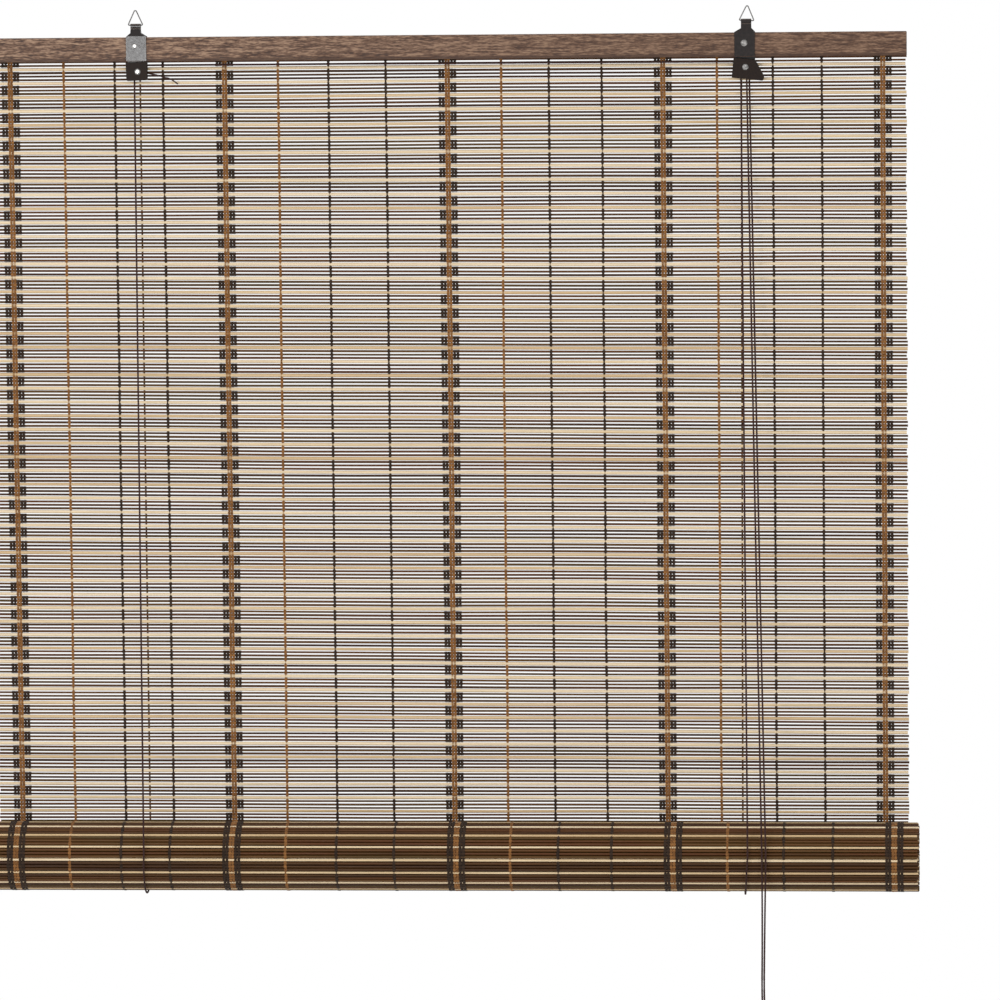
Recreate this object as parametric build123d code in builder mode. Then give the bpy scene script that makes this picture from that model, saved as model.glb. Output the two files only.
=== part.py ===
from build123d import *
from math import asin, atan2, cos, radians, sin, sqrt, tan
import os

# Roll-up blind of bamboo reeds, 100 cm wide and 180 cm long, hung on two
# hooks and rolled up to about half of its drop.
# Millimetres, +Z up, front towards -Y, X along the head rail.
# Origin: middle between the two brackets, at the height where the rings hang.

os.makedirs("parts", exist_ok=True)

# Head rail: a plain batten with a slightly rounded front
rail_length = 1000.0
rail_height = 26.0
rail_depth = 10.0
rail_bulge = 0.9
rail_top = -28.3
rail_middle_x = 4.2
rail_end_chamfer = 0.8
cut_over = 1.0

# Brackets: one folded steel strap each, with a curl that holds the ring
bracket_spacing = 660.0
sheet = 0.9
strap_width = 22.0
neck_width = 11.2
neck_left_shift = -0.75
neck_right_shift = 1.6
neck_top = -12.0
shoulder_top = -23.6
shoulder_bottom = -27.6
curl_height = -15.9
curl_radius = 1.95
curl_lead = 1.3
curl_lead_radius = 0.8
pinch_height = -19.2
pinch_half_gap = 0.65
pinch_radius = 1.2
strap_bend = -26.6
leg_bend_radius = 1.5
strap_front_end = -53.6
strap_back_end = -75.0

# Ear on the back leg of a strap, where the lift cord is knotted
ear_width = 7.0
ear_reach = 12.4
ear_height = -33.5
ear_hole = 2.2

# Hanging rings: bent wire triangles
ring_left_shift = -1.0
ring_right_shift = 2.1
ring_wire = 1.3
ring_facets = 8
ring_half_base = 8.1
ring_left_base = -15.07
ring_right_base = -15.47
ring_tall = 17.65
ring_peak_radius = 1.4
ring_corner_radius = 0.9
ring_right_tilt = 2.5

# Rivets: place beside the bracket's middle, height and head size
rail_rivet_left = (-1.5, -37.5, 5.6)
rail_rivet_right = (-0.5, -39.5, 7.0)
axle_left_x = 1.1
axle_right_x = 0.7
axle_height = -65.4
axle_head = 6.4
rivet_shank = 3.0
rivet_head_height = 1.4
rivet_rim = 0.5
rivet_dome = 0.3
rivet_tail = 4.4
rivet_tail_height = 0.5
axle_play = 0.05

# Cords and pulleys
cord = 2.0
cord_sides = 8
cord_turn = 4.8
groove_radius = 3.7
flange_radius = 6.3
pulley_width = 7.4
groove_spacing = 3.7
groove_half_width = 1.45
groove_floor = 1.05
cord_start_drop = 1.0
cord_gap = 0.1
body_gap = 0.3

# Covers in front of the pulleys, outlines from the axle's middle
cover_front = -5.1
cover_back = 4.0
cover_left_tilt = -2.0
cover_left_side = -12.6
cover_right_side = 10.3
cover_top = 10.3
cover_bottom = -9.7
cover_corner = 2.0
lock_tilt = 6.0
lock_outline = ((-13.6, 8.6), (9.6, 8.6), (21.0, -7.9), (20.2, -12.9), (-13.6, -12.7))
lock_corner = 1.2
lock_plate_inset = 0.5

# Openings of the lock's cover (left, right, low, high): cross cord's window, cords' way out below
cross_window = (-14.6, -11.6, 1.0, 6.5)
cords_way = (-12.7, 11.0, -14.9, -11.0)

# Lock roller, wedged between the cords and the slanted wall of the cover
roller_radius = 2.6
roller_length = 7.2
roller_x = 8.7
roller_z = 3.2
roller_chamfer = 0.3

# Reed mat, as it hangs: three dark reeds, then a natural one in a slot
reed_pitch = 3.737
reed_height = 2.3
reed_thickness = 2.0
web_thickness = 0.8
thread_thickness = 0.7
mat_top = -41.0
first_natural = 1
reeds_per_group = 4
slot_height = 3.0
slot_margin = 4.0
slot_play = 0.2
mat_roll_gap = 0.3

# Warp threads: broad bands of three groups, and single threads between them
band_places = (-470.0, -235.5, 7.4, 241.0, 478.2)
band_dark = 6.6
band_orange = 6.0
single_steps = (58.5, 114.5, 170.5)
single_width = 3.4

# Roll: the mat wound on the bottom rail, its back outwards
roll_height = -919.1
roll_outer = 39.0
turn_pitch = 3.7
turn_gap = 0.3
roll_turns = 5.4
roll_shift = 4.0
roll_reed_angle = 5.4
first_ridge_angle = -1.5
ridge_depth = 0.6
wedge_play = 0.05
wedge_margin = 0.3
turn_step = 20.0
band_end_angle = 340.0

# Bottom rail, in the heart of the roll
bottom_rail_height = 30.4
bottom_rail_depth = 10.0
bottom_rail_corner = 2.0

# Staples that hold the mat to the head rail, placed beside the warp bands
staple_wire = 0.7
staple_leg = 6.5
staple_steps = (29.0, 205.0)

# Lift cords, knots and the loose end at the left bracket
wrap_radius = 40.3
front_left_x = -331.7
front_right_x = 326.5
back_left_x = -328.0
back_right_x = 326.0
knot_radius = 2.4
knot_rise = 1.8
knot_chamfer = 0.7
loose_end = 1.6
tail_knot = (8.3, 2.5, -1.8)
tail_knot_radius = 1.5

# Pull cords, their hank and tassel
pull_left_x = 340.0
pull_right_x = 344.5
pull_merge = -1003.0
pull_merge_x = 339.6
pull_spacing = 2.3
hank_top = -1096.0
hank_height = 66.0
hank_width = 22.0
hank_depth = 19.0
hank_waist = 13.0
hank_waist_depth = 12.0
hank_waist_height = 12.0
hank_bulge = 0.3
hank_end_width = 12.0
hank_end_depth = 10.0
tie_height = 8.0
tie_wall = 1.8
tie_play = 0.1
tail_length = 12.0
tassel_height = 34.0
tassel_radius = 7.0
tassel_neck = 3.4
tassel_foot = 5.2
tassel_shoulder = 5.6
tassel_shoulder_share = 0.2
tassel_belly = 0.55

# Worked out
bracket_x = bracket_spacing / 2
rail_bottom = rail_top - rail_height
rail_front = -rail_depth / 2
rail_back = rail_depth / 2
axle_l = -bracket_x + axle_left_x
axle_r = bracket_x + axle_right_x
cord_start = axle_height - cord_start_drop
mat_front = rail_back
reed_middle = mat_front + thread_thickness + reed_thickness / 2
mat_back = mat_front + 2 * thread_thickness + reed_thickness
mat_left = rail_middle_x - rail_length / 2
roll_left = mat_left + roll_shift
turn_thickness = turn_pitch - turn_gap
roll_y = reed_middle - (roll_outer - turn_thickness / 2)
back_cord_y = roll_y + wrap_radius
reed_count = int((mat_top - roll_height - mat_roll_gap) / reed_pitch)
mat_bottom = mat_top - reed_count * reed_pitch


def save(part, name):
    """Label a finished piece and write it to its own file."""
    part.label = name
    export_step(part, "parts/" + name + ".step")


def front_touch(start_y):
    """Depth and height where a tight cord from a pulley meets the roll's front."""
    across = start_y - roll_y
    rise = cord_start - roll_height
    lean = asin(wrap_radius / sqrt(across**2 + rise**2)) + atan2(across, rise)
    return (roll_y - wrap_radius * cos(lean), roll_height + wrap_radius * sin(lean))


def save_cord(name, wire, radii, diameter):
    """Sweep a plain cord along its route, print its length and save it."""
    with BuildPart() as tube:
        with BuildSketch(Plane(origin=wire @ 0, z_dir=wire % 0)) as section:
            RegularPolygon(diameter / 2, cord_sides)
        sweep(path=wire)
    filled = tube.part.volume / (section.sketch.area * wire.length)
    print(name, "length", round(wire.length, 1), "arc radii", radii, "filled", round(filled, 4))
    save(tube.part, name)


def save_tube(name, points, radii, diameter):
    """Cord of straight runs joined by tangent arcs."""
    with BuildLine() as route:
        if radii:
            FilletPolyline(*points, radius=radii)
        else:
            Line(*points)
    save_cord(name, route.wires()[0], radii, diameter)


def save_arc(name, points, lead, radius, diameter):
    """Cord round a pulley or the roll, with a straight lead below each end."""
    start, middle, end = points
    with BuildLine() as route:
        if lead:
            Line((start[0], start[1], start[2] - lead), start)
        ThreePointArc(start, middle, end)
        if lead:
            Line(end, (end[0], end[1], end[2] - lead))
    save_cord(name, route.wires()[0], [radius], diameter)


def soft_radii(points):
    """Arc radii of a free cord: 0.45 of the shorter run over tan of half the turn."""
    radii = []
    for before, here, after in zip(points, points[1:], points[2:]):
        run_in = Vector(*here) - Vector(*before)
        run_out = Vector(*after) - Vector(*here)
        turn = radians(run_in.get_angle(run_out))
        radii.append(round(0.45 * min(run_in.length, run_out.length) / tan(turn / 2), 1))
    return radii


# Head rail
with BuildPart() as head_rail:
    with BuildSketch(Plane.YZ.offset(mat_left)):
        with BuildLine():
            Line((rail_front + rail_bulge, rail_bottom), (rail_back, rail_bottom))
            Line((rail_back, rail_bottom), (rail_back, rail_top))
            Line((rail_back, rail_top), (rail_front + rail_bulge, rail_top))
            ThreePointArc(
                (rail_front + rail_bulge, rail_top),
                (rail_front, (rail_top + rail_bottom) / 2),
                (rail_front + rail_bulge, rail_bottom),
            )
        make_face()
    extrude(amount=rail_length)
    ends = head_rail.faces().filter_by(Axis.X)
    chamfer(ends.edges(), length=rail_end_chamfer)
    for side in (-bracket_x, bracket_x):
        with BuildSketch(Plane.XZ.offset(-rail_back)):
            with Locations((side, (rail_top + rail_bottom) / 2)):
                Rectangle(strap_width, rail_height + 2 * cut_over)
        extrude(amount=sheet, mode=Mode.SUBTRACT)
    for side, rivet in ((-bracket_x, rail_rivet_left), (bracket_x, rail_rivet_right)):
        with BuildSketch(Plane.XZ.offset(rail_back + cut_over)):
            with Locations((side + rivet[0], rivet[1])):
                Circle(rivet_shank / 2)
        extrude(amount=-rail_depth - 2 * cut_over, mode=Mode.SUBTRACT)
save(head_rail.part, "head_rail")


# Brackets
def lock_face(inset):
    """Outline of the lock's cover about the axle, drawn that much smaller."""
    with BuildSketch(mode=Mode.PRIVATE) as face:
        with BuildLine():
            Polyline(*lock_outline, close=True)
        make_face()
        if inset:
            offset(amount=-inset, kind=Kind.INTERSECTION, mode=Mode.REPLACE)
        fillet(face.vertices(), radius=lock_corner)
    return face.sketch.rotate(Axis.Z, -lock_tilt)


def lock_window(left, right, low, high):
    """Upright window in the lock's own tilted frame about the axle."""
    with BuildSketch(mode=Mode.PRIVATE) as window:
        with Locations(((left + right) / 2, (low + high) / 2)):
            Rectangle(right - left, high - low)
    return window.sketch.rotate(Axis.Z, -lock_tilt)


def make_bracket(name, side, neck_shift, rivet, axle_x, ear_x, with_lock):
    """Strap folded over the head rail, with its holes and the ear for the lift cord."""
    half = strap_width / 2
    neck_left = side + neck_shift - neck_width / 2
    neck_right = side + neck_shift + neck_width / 2
    front_leg = rail_front - sheet / 2
    back_leg = rail_back - sheet / 2
    with BuildPart() as strap:
        with BuildSketch(Plane.YZ.offset(side)):
            with BuildLine():
                FilletPolyline(
                    (front_leg, strap_front_end),
                    (front_leg, strap_bend),
                    (-pinch_half_gap, pinch_height),
                    (-curl_radius, curl_height - curl_lead),
                    (-curl_radius, curl_height),
                    radius=(leg_bend_radius, pinch_radius, curl_lead_radius),
                )
                ThreePointArc(
                    (-curl_radius, curl_height),
                    (0, curl_height + curl_radius),
                    (curl_radius, curl_height),
                )
                FilletPolyline(
                    (curl_radius, curl_height),
                    (curl_radius, curl_height - curl_lead),
                    (pinch_half_gap, pinch_height),
                    (back_leg, strap_bend),
                    (back_leg, strap_back_end - strap_width),
                    radius=(curl_lead_radius, pinch_radius, leg_bend_radius),
                )
            trace(line_width=sheet)
        extrude(amount=2 * strap_width, both=True)
        with BuildSketch(Plane.XZ):
            with BuildLine():
                Polyline(
                    (neck_left, neck_top),
                    (neck_right, neck_top),
                    (neck_right, shoulder_top),
                    (side + half, shoulder_bottom),
                    (side + half, strap_back_end),
                    (side - half, strap_back_end),
                    (side - half, shoulder_bottom),
                    (neck_left, shoulder_top),
                    close=True,
                )
            make_face()
            if with_lock:
                with Locations((axle_x, axle_height)):
                    add(lock_face(lock_plate_inset))
            with Locations((side + rivet[0], rivet[1]), (axle_x, axle_height)):
                Circle(rivet_shank / 2, mode=Mode.SUBTRACT)
        extrude(amount=rail_depth, both=True, mode=Mode.INTERSECT)
        with BuildSketch(Plane.XY.offset(ear_height)):
            with Locations((ear_x, (rail_back - sheet / 2 + ear_reach) / 2)):
                Rectangle(ear_width, ear_reach - rail_back + sheet / 2)
            with Locations((ear_x, back_cord_y)):
                Circle(ear_hole / 2, mode=Mode.SUBTRACT)
        extrude(amount=sheet)
    save(strap.part, name)


make_bracket("bracket_left", -bracket_x, neck_left_shift, rail_rivet_left, axle_l, back_left_x, False)
make_bracket("bracket_right", bracket_x, neck_right_shift, rail_rivet_right, axle_r, back_right_x, True)


# Hanging rings
def make_ring(name, side, base, tilt):
    """Wire triangle, round at its corners, standing in the strap's curl."""
    upright = Plane(origin=(side, 0, base), x_dir=(1, 0, 0), z_dir=(0, -1, 0))
    with BuildPart() as ring:
        with BuildLine(upright.rotated((0, tilt, 0))) as wire:
            FilletPolyline(
                (0, 0),
                (ring_half_base, 0),
                (0, ring_tall),
                (-ring_half_base, 0),
                radius=(0, ring_corner_radius, ring_peak_radius, ring_corner_radius),
                close=True,
            )
        loop = wire.wires()[0]
        with BuildSketch(Plane(origin=loop @ 0, z_dir=loop % 0)):
            RegularPolygon(ring_wire / 2, ring_facets)
        sweep(path=loop)
    save(ring.part, name)


make_ring("ring_left", -bracket_x + ring_left_shift, ring_left_base, 0)
make_ring("ring_right", bracket_x + ring_right_shift, ring_right_base, ring_right_tilt)


# Rivets
def make_rivet(name, x, z, head, front):
    """Rivet along Y with a domed head in front and a flat tail behind."""
    with BuildPart() as rivet:
        with BuildSketch(Plane.XY.offset(z)):
            with BuildLine():
                Polyline(
                    (x, front - rivet_head_height),
                    (x, rail_back + rivet_tail_height),
                    (x + rivet_tail / 2, rail_back + rivet_tail_height),
                    (x + rivet_tail / 2, rail_back),
                    (x + rivet_shank / 2, rail_back),
                    (x + rivet_shank / 2, front),
                    (x + head / 2, front),
                    (x + head / 2, front - rivet_rim),
                    (x + head * rivet_dome, front - rivet_head_height),
                    close=True,
                )
            make_face()
        revolve(axis=Axis((x, 0, z), (0, 1, 0)))
    save(rivet.part, name)


strap_face = rail_front - sheet
make_rivet(
    "rail_rivet_left", -bracket_x + rail_rivet_left[0], rail_rivet_left[1], rail_rivet_left[2], strap_face
)
make_rivet(
    "rail_rivet_right", bracket_x + rail_rivet_right[0], rail_rivet_right[1], rail_rivet_right[2], strap_face
)
make_rivet("axle_rivet_left", axle_l, axle_height, axle_head, cover_front)
make_rivet("axle_rivet_right", axle_r, axle_height, axle_head, cover_front)


# Pulleys
def make_pulley(name, x, grooves):
    """Grooved wheel on its axle rivet; one groove for each cord."""
    bore = rivet_shank / 2 + axle_play
    rim = [(x + flange_radius, -pulley_width / 2)]
    for groove in grooves:
        rim.append((x + flange_radius, groove - groove_half_width))
        rim.append((x + groove_radius, groove - groove_floor))
        rim.append((x + groove_radius, groove + groove_floor))
        rim.append((x + flange_radius, groove + groove_half_width))
    rim.append((x + flange_radius, pulley_width / 2))
    with BuildPart() as pulley:
        with BuildSketch(Plane.XY.offset(axle_height)):
            with BuildLine():
                Polyline((x + bore, -pulley_width / 2), *rim, (x + bore, pulley_width / 2), close=True)
            make_face()
        revolve(axis=Axis((x, 0, axle_height), (0, 1, 0)))
    save(pulley.part, name)


make_pulley("pulley_left", axle_l, [0])
make_pulley("lock_pulley", axle_r, [-groove_spacing / 2, groove_spacing / 2])

# Cover of the left pulley: front plate with a flange under the head rail
with BuildSketch(mode=Mode.PRIVATE) as left_plate:
    with Locations(((cover_left_side + cover_right_side) / 2, (cover_top + cover_bottom) / 2)):
        Rectangle(cover_right_side - cover_left_side, cover_top - cover_bottom)
    fillet(left_plate.vertices().group_by(Axis.Y)[0], radius=cover_corner)
with BuildSketch(mode=Mode.PRIVATE) as left_flange:
    with Locations(((cover_left_side + cover_right_side) / 2, cover_top - sheet / 2)):
        Rectangle(cover_right_side - cover_left_side, sheet)
with BuildPart() as pulley_cover_left:
    with BuildSketch(Plane.XZ.offset(-cover_front)):
        with Locations((axle_l, axle_height)):
            add(left_plate.sketch.rotate(Axis.Z, -cover_left_tilt))
            Circle(rivet_shank / 2, mode=Mode.SUBTRACT)
    extrude(amount=-sheet)
    with BuildSketch(Plane.XZ.offset(-cover_front)):
        with Locations((axle_l, axle_height)):
            add(left_flange.sketch.rotate(Axis.Z, -cover_left_tilt))
    extrude(amount=cover_front - cover_back)
save(pulley_cover_left.part, "pulley_cover_left")

# Cover of the lock: box with a slanted wall, open at the back and below
with BuildPart() as lock_cover:
    with BuildSketch(Plane.XZ.offset(-cover_front)):
        with Locations((axle_r, axle_height)):
            add(lock_face(0))
    extrude(amount=cover_front - cover_back)
    with BuildSketch(Plane.XZ.offset(-cover_front - sheet)):
        with Locations((axle_r, axle_height)):
            add(lock_face(sheet))
            add(lock_window(*cords_way))
            add(lock_window(*cross_window))
    extrude(amount=cover_front - cover_back, mode=Mode.SUBTRACT)
    with BuildSketch(Plane.XZ.offset(-cover_front)):
        with Locations((axle_r, axle_height)):
            Circle(rivet_shank / 2)
    extrude(amount=-2 * sheet, mode=Mode.SUBTRACT)
save(lock_cover.part, "lock_cover")

# Lock roller
lean = radians(lock_tilt)
roller_at_x = axle_r + roller_x * cos(lean) + roller_z * sin(lean)
roller_at_z = axle_height + roller_z * cos(lean) - roller_x * sin(lean)
with BuildPart() as lock_roller:
    with BuildSketch(Plane.XZ):
        with Locations((roller_at_x, roller_at_z)):
            Circle(roller_radius)
    extrude(amount=roller_length / 2, both=True)
    chamfer(lock_roller.edges().filter_by(GeomType.CIRCLE), length=roller_chamfer)
save(lock_roller.part, "lock_roller")

# Hanging mat: a wall of ridged reeds, with slots in which the natural reeds lie
natural_reeds = range(first_natural, reed_count, reeds_per_group)
web_front = reed_middle - web_thickness / 2
web_back = reed_middle + web_thickness / 2
reed_front = reed_middle - reed_thickness / 2
reed_back = reed_middle + reed_thickness / 2
front_side = [(web_front, mat_top)]
back_side = [(web_back, mat_top)]
for reed in range(reed_count):
    if reed not in natural_reeds:
        front_side.append((reed_front, mat_top - (reed + 0.5) * reed_pitch))
        back_side.append((reed_back, mat_top - (reed + 0.5) * reed_pitch))
    front_side.append((web_front, mat_top - (reed + 1) * reed_pitch))
    back_side.append((web_back, mat_top - (reed + 1) * reed_pitch))
natural_heights = [mat_top - (reed + 0.5) * reed_pitch for reed in natural_reeds]
with BuildPart() as mat_hanging:
    with BuildSketch(Plane.YZ.offset(mat_left)):
        with BuildLine():
            Polyline(*front_side, *reversed(back_side), close=True)
        make_face()
    extrude(amount=rail_length)
    with BuildSketch(Plane.XZ):
        with Locations([(rail_middle_x, height) for height in natural_heights]):
            Rectangle(rail_length - 2 * slot_margin, slot_height)
    extrude(amount=-2 * mat_back, mode=Mode.SUBTRACT)
save(mat_hanging.part, "mat_hanging")

with BuildPart() as mat_natural_reeds:
    with Locations([(rail_middle_x, reed_middle, height) for height in natural_heights]):
        Box(rail_length - 2 * slot_margin - slot_play, reed_thickness, reed_height)
save(mat_natural_reeds.part, "mat_natural_reeds")

# Warp threads: middle and width of every dark and orange strip
orange_strips = [(place, band_orange) for place in band_places]
orange_strips += [(place + single_steps[0], single_width) for place in band_places[:-1]]
dark_strips = [(place - (band_orange + band_dark) / 2, band_dark) for place in band_places]
dark_strips += [(place + (band_orange + band_dark) / 2, band_dark) for place in band_places]
dark_strips += [(place + step, single_width) for place in band_places[:-1] for step in single_steps[1:]]


def make_hanging_warps(name, strips):
    """Flat threads in front of and behind the hanging reeds."""
    with BuildPart() as warps:
        for middle, width in strips:
            with Locations(
                (middle, mat_front + thread_thickness / 2, (mat_top + mat_bottom) / 2),
                (middle, mat_back - thread_thickness / 2, (mat_top + mat_bottom) / 2),
            ):
                Box(width, thread_thickness, mat_top - mat_bottom)
    save(warps.part, name)


make_hanging_warps("mat_warps_dark", dark_strips)
make_hanging_warps("mat_warps_orange", orange_strips)

# Staples that hold the mat to the head rail
staple_high = mat_top - reed_pitch
staple_low = mat_top - 3 * reed_pitch
with BuildPart() as mat_staples:
    for place in [band + step for band in band_places[:-1] for step in staple_steps]:
        with BuildSketch(Plane.YZ.offset(place)):
            with Locations((reed_back + staple_wire / 2, (staple_high + staple_low) / 2)):
                Rectangle(staple_wire, staple_high - staple_low + staple_wire)
            with Locations(
                (reed_back - staple_leg / 2, staple_high),
                (reed_back - staple_leg / 2, staple_low),
            ):
                Rectangle(staple_leg, staple_wire)
        extrude(amount=staple_wire)
save(mat_staples.part, "mat_staples")


# Roll: angles run from its back, down and up the front again
def on_roll(angle, radius):
    """Point at this wound angle, on a spiral that starts with this radius."""
    here = radius - turn_pitch * angle / 360
    return (roll_y + here * cos(radians(angle)), roll_height - here * sin(radians(angle)))


ridge_outer = roll_outer - thread_thickness
roll_ridges = int(360 / roll_reed_angle)
outer_side = [(roll_y + ridge_outer, mat_bottom - mat_roll_gap)]
natural_wedges = []
for ridge in range(1, roll_ridges):
    start = first_ridge_angle + ridge * roll_reed_angle
    valley = on_roll(start, ridge_outer - ridge_depth)
    peak = on_roll(start + roll_reed_angle / 2, ridge_outer)
    outer_side.append(valley)
    if ridge % reeds_per_group == 0:
        low = ridge_outer - ridge_depth + wedge_play
        natural_wedges.append(
            [on_roll(start + wedge_margin, low), peak, on_roll(start + roll_reed_angle - wedge_margin, low)]
        )
    else:
        outer_side.append(peak)
steps = int(roll_turns * 360 / turn_step)
steps_in_turn = int(360 / turn_step)
outer_side += [on_roll(step * turn_step, roll_outer) for step in range(steps_in_turn, steps + 1)]
inner_side = [on_roll(step * turn_step, roll_outer - turn_thickness) for step in range(steps + 1)]
inner_side.insert(0, (roll_y + roll_outer - turn_thickness, mat_bottom - mat_roll_gap))
with BuildPart() as mat_roll:
    with BuildSketch(Plane.YZ.offset(roll_left)):
        with BuildLine():
            Polyline(*outer_side, *reversed(inner_side), close=True)
        make_face()
    extrude(amount=rail_length)
save(mat_roll.part, "mat_roll")

with BuildPart() as roll_natural_reeds:
    for wedge in natural_wedges:
        with BuildSketch(Plane.YZ.offset(roll_left)):
            with BuildLine():
                Polyline(*wedge, close=True)
            make_face()
        extrude(amount=rail_length)
save(roll_natural_reeds.part, "roll_natural_reeds")


def make_roll_warps(name, strips):
    """Threads around the outer turn of the roll."""
    count = int(band_end_angle / turn_step)
    low = ridge_outer / cos(radians(turn_step / 2)) + wedge_play
    inside = [on_roll(step * turn_step, low) for step in range(1, count + 1)]
    outside = [on_roll(step * turn_step, low + thread_thickness) for step in range(1, count + 1)]
    with BuildPart() as warps:
        for middle, width in strips:
            with BuildSketch(Plane.YZ.offset(middle + roll_shift - width / 2)):
                with BuildLine():
                    Polyline(*inside, *reversed(outside), close=True)
                make_face()
            extrude(amount=width)
    save(warps.part, name)


make_roll_warps("roll_warps_dark", dark_strips)
make_roll_warps("roll_warps_orange", orange_strips)

with BuildPart() as bottom_rail:
    with BuildSketch(Plane.YZ.offset(roll_left)):
        with Locations((roll_y, roll_height)):
            RectangleRounded(bottom_rail_depth, bottom_rail_height, bottom_rail_corner)
    extrude(amount=rail_length)
save(bottom_rail.part, "bottom_rail")

# Lift cords
cross_height = axle_height + cord_turn
left_rise_x = axle_l - cord_turn
right_rise_x = axle_r - cord_turn
pull_start_x = axle_r + cord_turn
front_groove = -groove_spacing / 2
back_groove = groove_spacing / 2
save_tube(
    "cross_cord",
    [
        (left_rise_x, 0, cord_start),
        (left_rise_x, 0, cross_height),
        (pull_start_x, front_groove, cross_height),
        (pull_start_x, front_groove, cord_start),
    ],
    [cord_turn, cord_turn],
    cord,
)
save_arc(
    "lock_turn_cord",
    [
        (right_rise_x, back_groove, axle_height),
        (axle_r, back_groove, cross_height),
        (pull_start_x, back_groove, axle_height),
    ],
    cord_start_drop,
    cord_turn,
    cord,
)


def make_front_cord(name, start_x, start_y, end_x):
    """Tight run from a pulley down to the front of the roll."""
    touch = front_touch(start_y)
    save_tube(
        name,
        [(start_x, start_y, cord_start - cord_gap), (end_x, touch[0], touch[1] + body_gap)],
        [],
        cord,
    )


def make_loop(name, front_x, back_x, start_y):
    """Run of a lift cord from the front, under the roll and up to its back."""
    touch = front_touch(start_y)
    save_arc(
        name,
        [
            (front_x, touch[0], touch[1]),
            ((front_x + back_x) / 2, roll_y, roll_height - wrap_radius),
            (back_x, back_cord_y, roll_height),
        ],
        0,
        wrap_radius,
        cord,
    )


def make_back_cord(name, x):
    """Straight run behind the mat, up through the bracket's ear."""
    save_tube(name, [(x, back_cord_y, ear_height + sheet), (x, back_cord_y, roll_height + body_gap)], [], cord)


def make_knot(name, x):
    """Knot that rests on the bracket's ear."""
    with BuildPart() as knot:
        with BuildSketch(Plane.XY.offset(ear_height + sheet)):
            with Locations((x, back_cord_y)):
                RegularPolygon(knot_radius, cord_sides)
        extrude(amount=2 * knot_rise)
        chamfer(knot.edges().filter_by(Plane.XY), length=knot_chamfer)
    save(knot.part, name)


make_front_cord("lift_cord_left_front", left_rise_x, 0, front_left_x)
make_front_cord("lift_cord_right_front", right_rise_x, back_groove, front_right_x)
make_loop("lift_cord_left_loop", front_left_x, back_left_x, 0)
make_loop("lift_cord_right_loop", front_right_x, back_right_x, back_groove)
make_back_cord("lift_cord_left_back", back_left_x)
make_back_cord("lift_cord_right_back", back_right_x)
make_knot("cord_knot_left", back_left_x)
make_knot("cord_knot_right", back_right_x)

# Pull cords
make_front_cord("pull_cord_left_upper", pull_start_x, front_groove, pull_left_x)
make_front_cord("pull_cord_right_upper", pull_start_x, back_groove, pull_right_x)


def make_lower_pull(name, x, start_y, end_x):
    """Hanging run from the front of the roll down to the hank."""
    touch = front_touch(start_y)
    points = [(x, touch[0], touch[1]), (end_x, touch[0], pull_merge), (end_x, touch[0], hank_top)]
    save_tube(name, points, soft_radii(points), cord)


make_lower_pull("pull_cord_left_lower", pull_left_x, front_groove, pull_merge_x - pull_spacing / 2)
make_lower_pull("pull_cord_right_lower", pull_right_x, back_groove, pull_merge_x + pull_spacing / 2)

# Hank, tie, tails and tassel
hank_y = (front_touch(front_groove)[0] + front_touch(back_groove)[0]) / 2
hank_middle = hank_top - hank_height / 2
hank_bottom = hank_top - hank_height


def hank_outline(across, end, bulge, waist):
    """Outline of the hank as seen from one side, about its middle line."""
    levels = (
        (end / 2, hank_height / 2),
        (bulge / 2, hank_height * hank_bulge),
        (waist / 2, hank_waist_height / 2),
        (waist / 2, -hank_waist_height / 2),
        (bulge / 2, -hank_height * hank_bulge),
        (end / 2, -hank_height / 2),
    )
    right = [(across + half, hank_middle + height) for half, height in levels]
    left = [(across - half, hank_middle + height) for half, height in reversed(levels)]
    return right + left


with BuildPart() as cord_hank:
    with BuildSketch(Plane.XZ.offset(-hank_y)):
        with BuildLine():
            Polyline(*hank_outline(pull_merge_x, hank_end_width, hank_width, hank_waist), close=True)
        make_face()
    extrude(amount=hank_depth, both=True)
    with BuildSketch(Plane.YZ.offset(pull_merge_x)):
        with BuildLine():
            Polyline(*hank_outline(hank_y, hank_end_depth, hank_depth, hank_waist_depth), close=True)
        make_face()
    extrude(amount=hank_width, both=True, mode=Mode.INTERSECT)
save(cord_hank.part, "cord_hank")

tie_hole_width = hank_waist + 2 * tie_play
tie_hole_depth = hank_waist_depth + 2 * tie_play
with BuildPart() as hank_tie:
    with Locations((pull_merge_x, hank_y, hank_middle)):
        Box(tie_hole_width + 2 * tie_wall, tie_hole_depth + 2 * tie_wall, tie_height)
        chamfer(hank_tie.edges().filter_by(Axis.Z), length=tie_wall)
        Box(tie_hole_width, tie_hole_depth, tie_height, mode=Mode.SUBTRACT)
save(hank_tie.part, "hank_tie")

tassel_top = hank_bottom - tail_length
for tail, side in (("pull_tail_left", -1), ("pull_tail_right", 1)):
    tail_x = pull_merge_x + side * pull_spacing / 2
    save_tube(tail, [(tail_x, hank_y, hank_bottom), (tail_x, hank_y, tassel_top)], [], cord)

with BuildPart() as tassel:
    with BuildSketch(Plane.XZ.offset(-hank_y)):
        with BuildLine():
            Polyline(
                (pull_merge_x, tassel_top),
                (pull_merge_x + tassel_neck, tassel_top),
                (pull_merge_x + tassel_shoulder, tassel_top - tassel_height * tassel_shoulder_share),
                (pull_merge_x + tassel_radius, tassel_top - tassel_height * tassel_belly),
                (pull_merge_x + tassel_foot, tassel_top - tassel_height),
                (pull_merge_x, tassel_top - tassel_height),
                close=True,
            )
        make_face()
    revolve(axis=Axis((pull_merge_x, hank_y, tassel_top), (0, 0, 1)))
save(tassel.part, "tassel")

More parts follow.
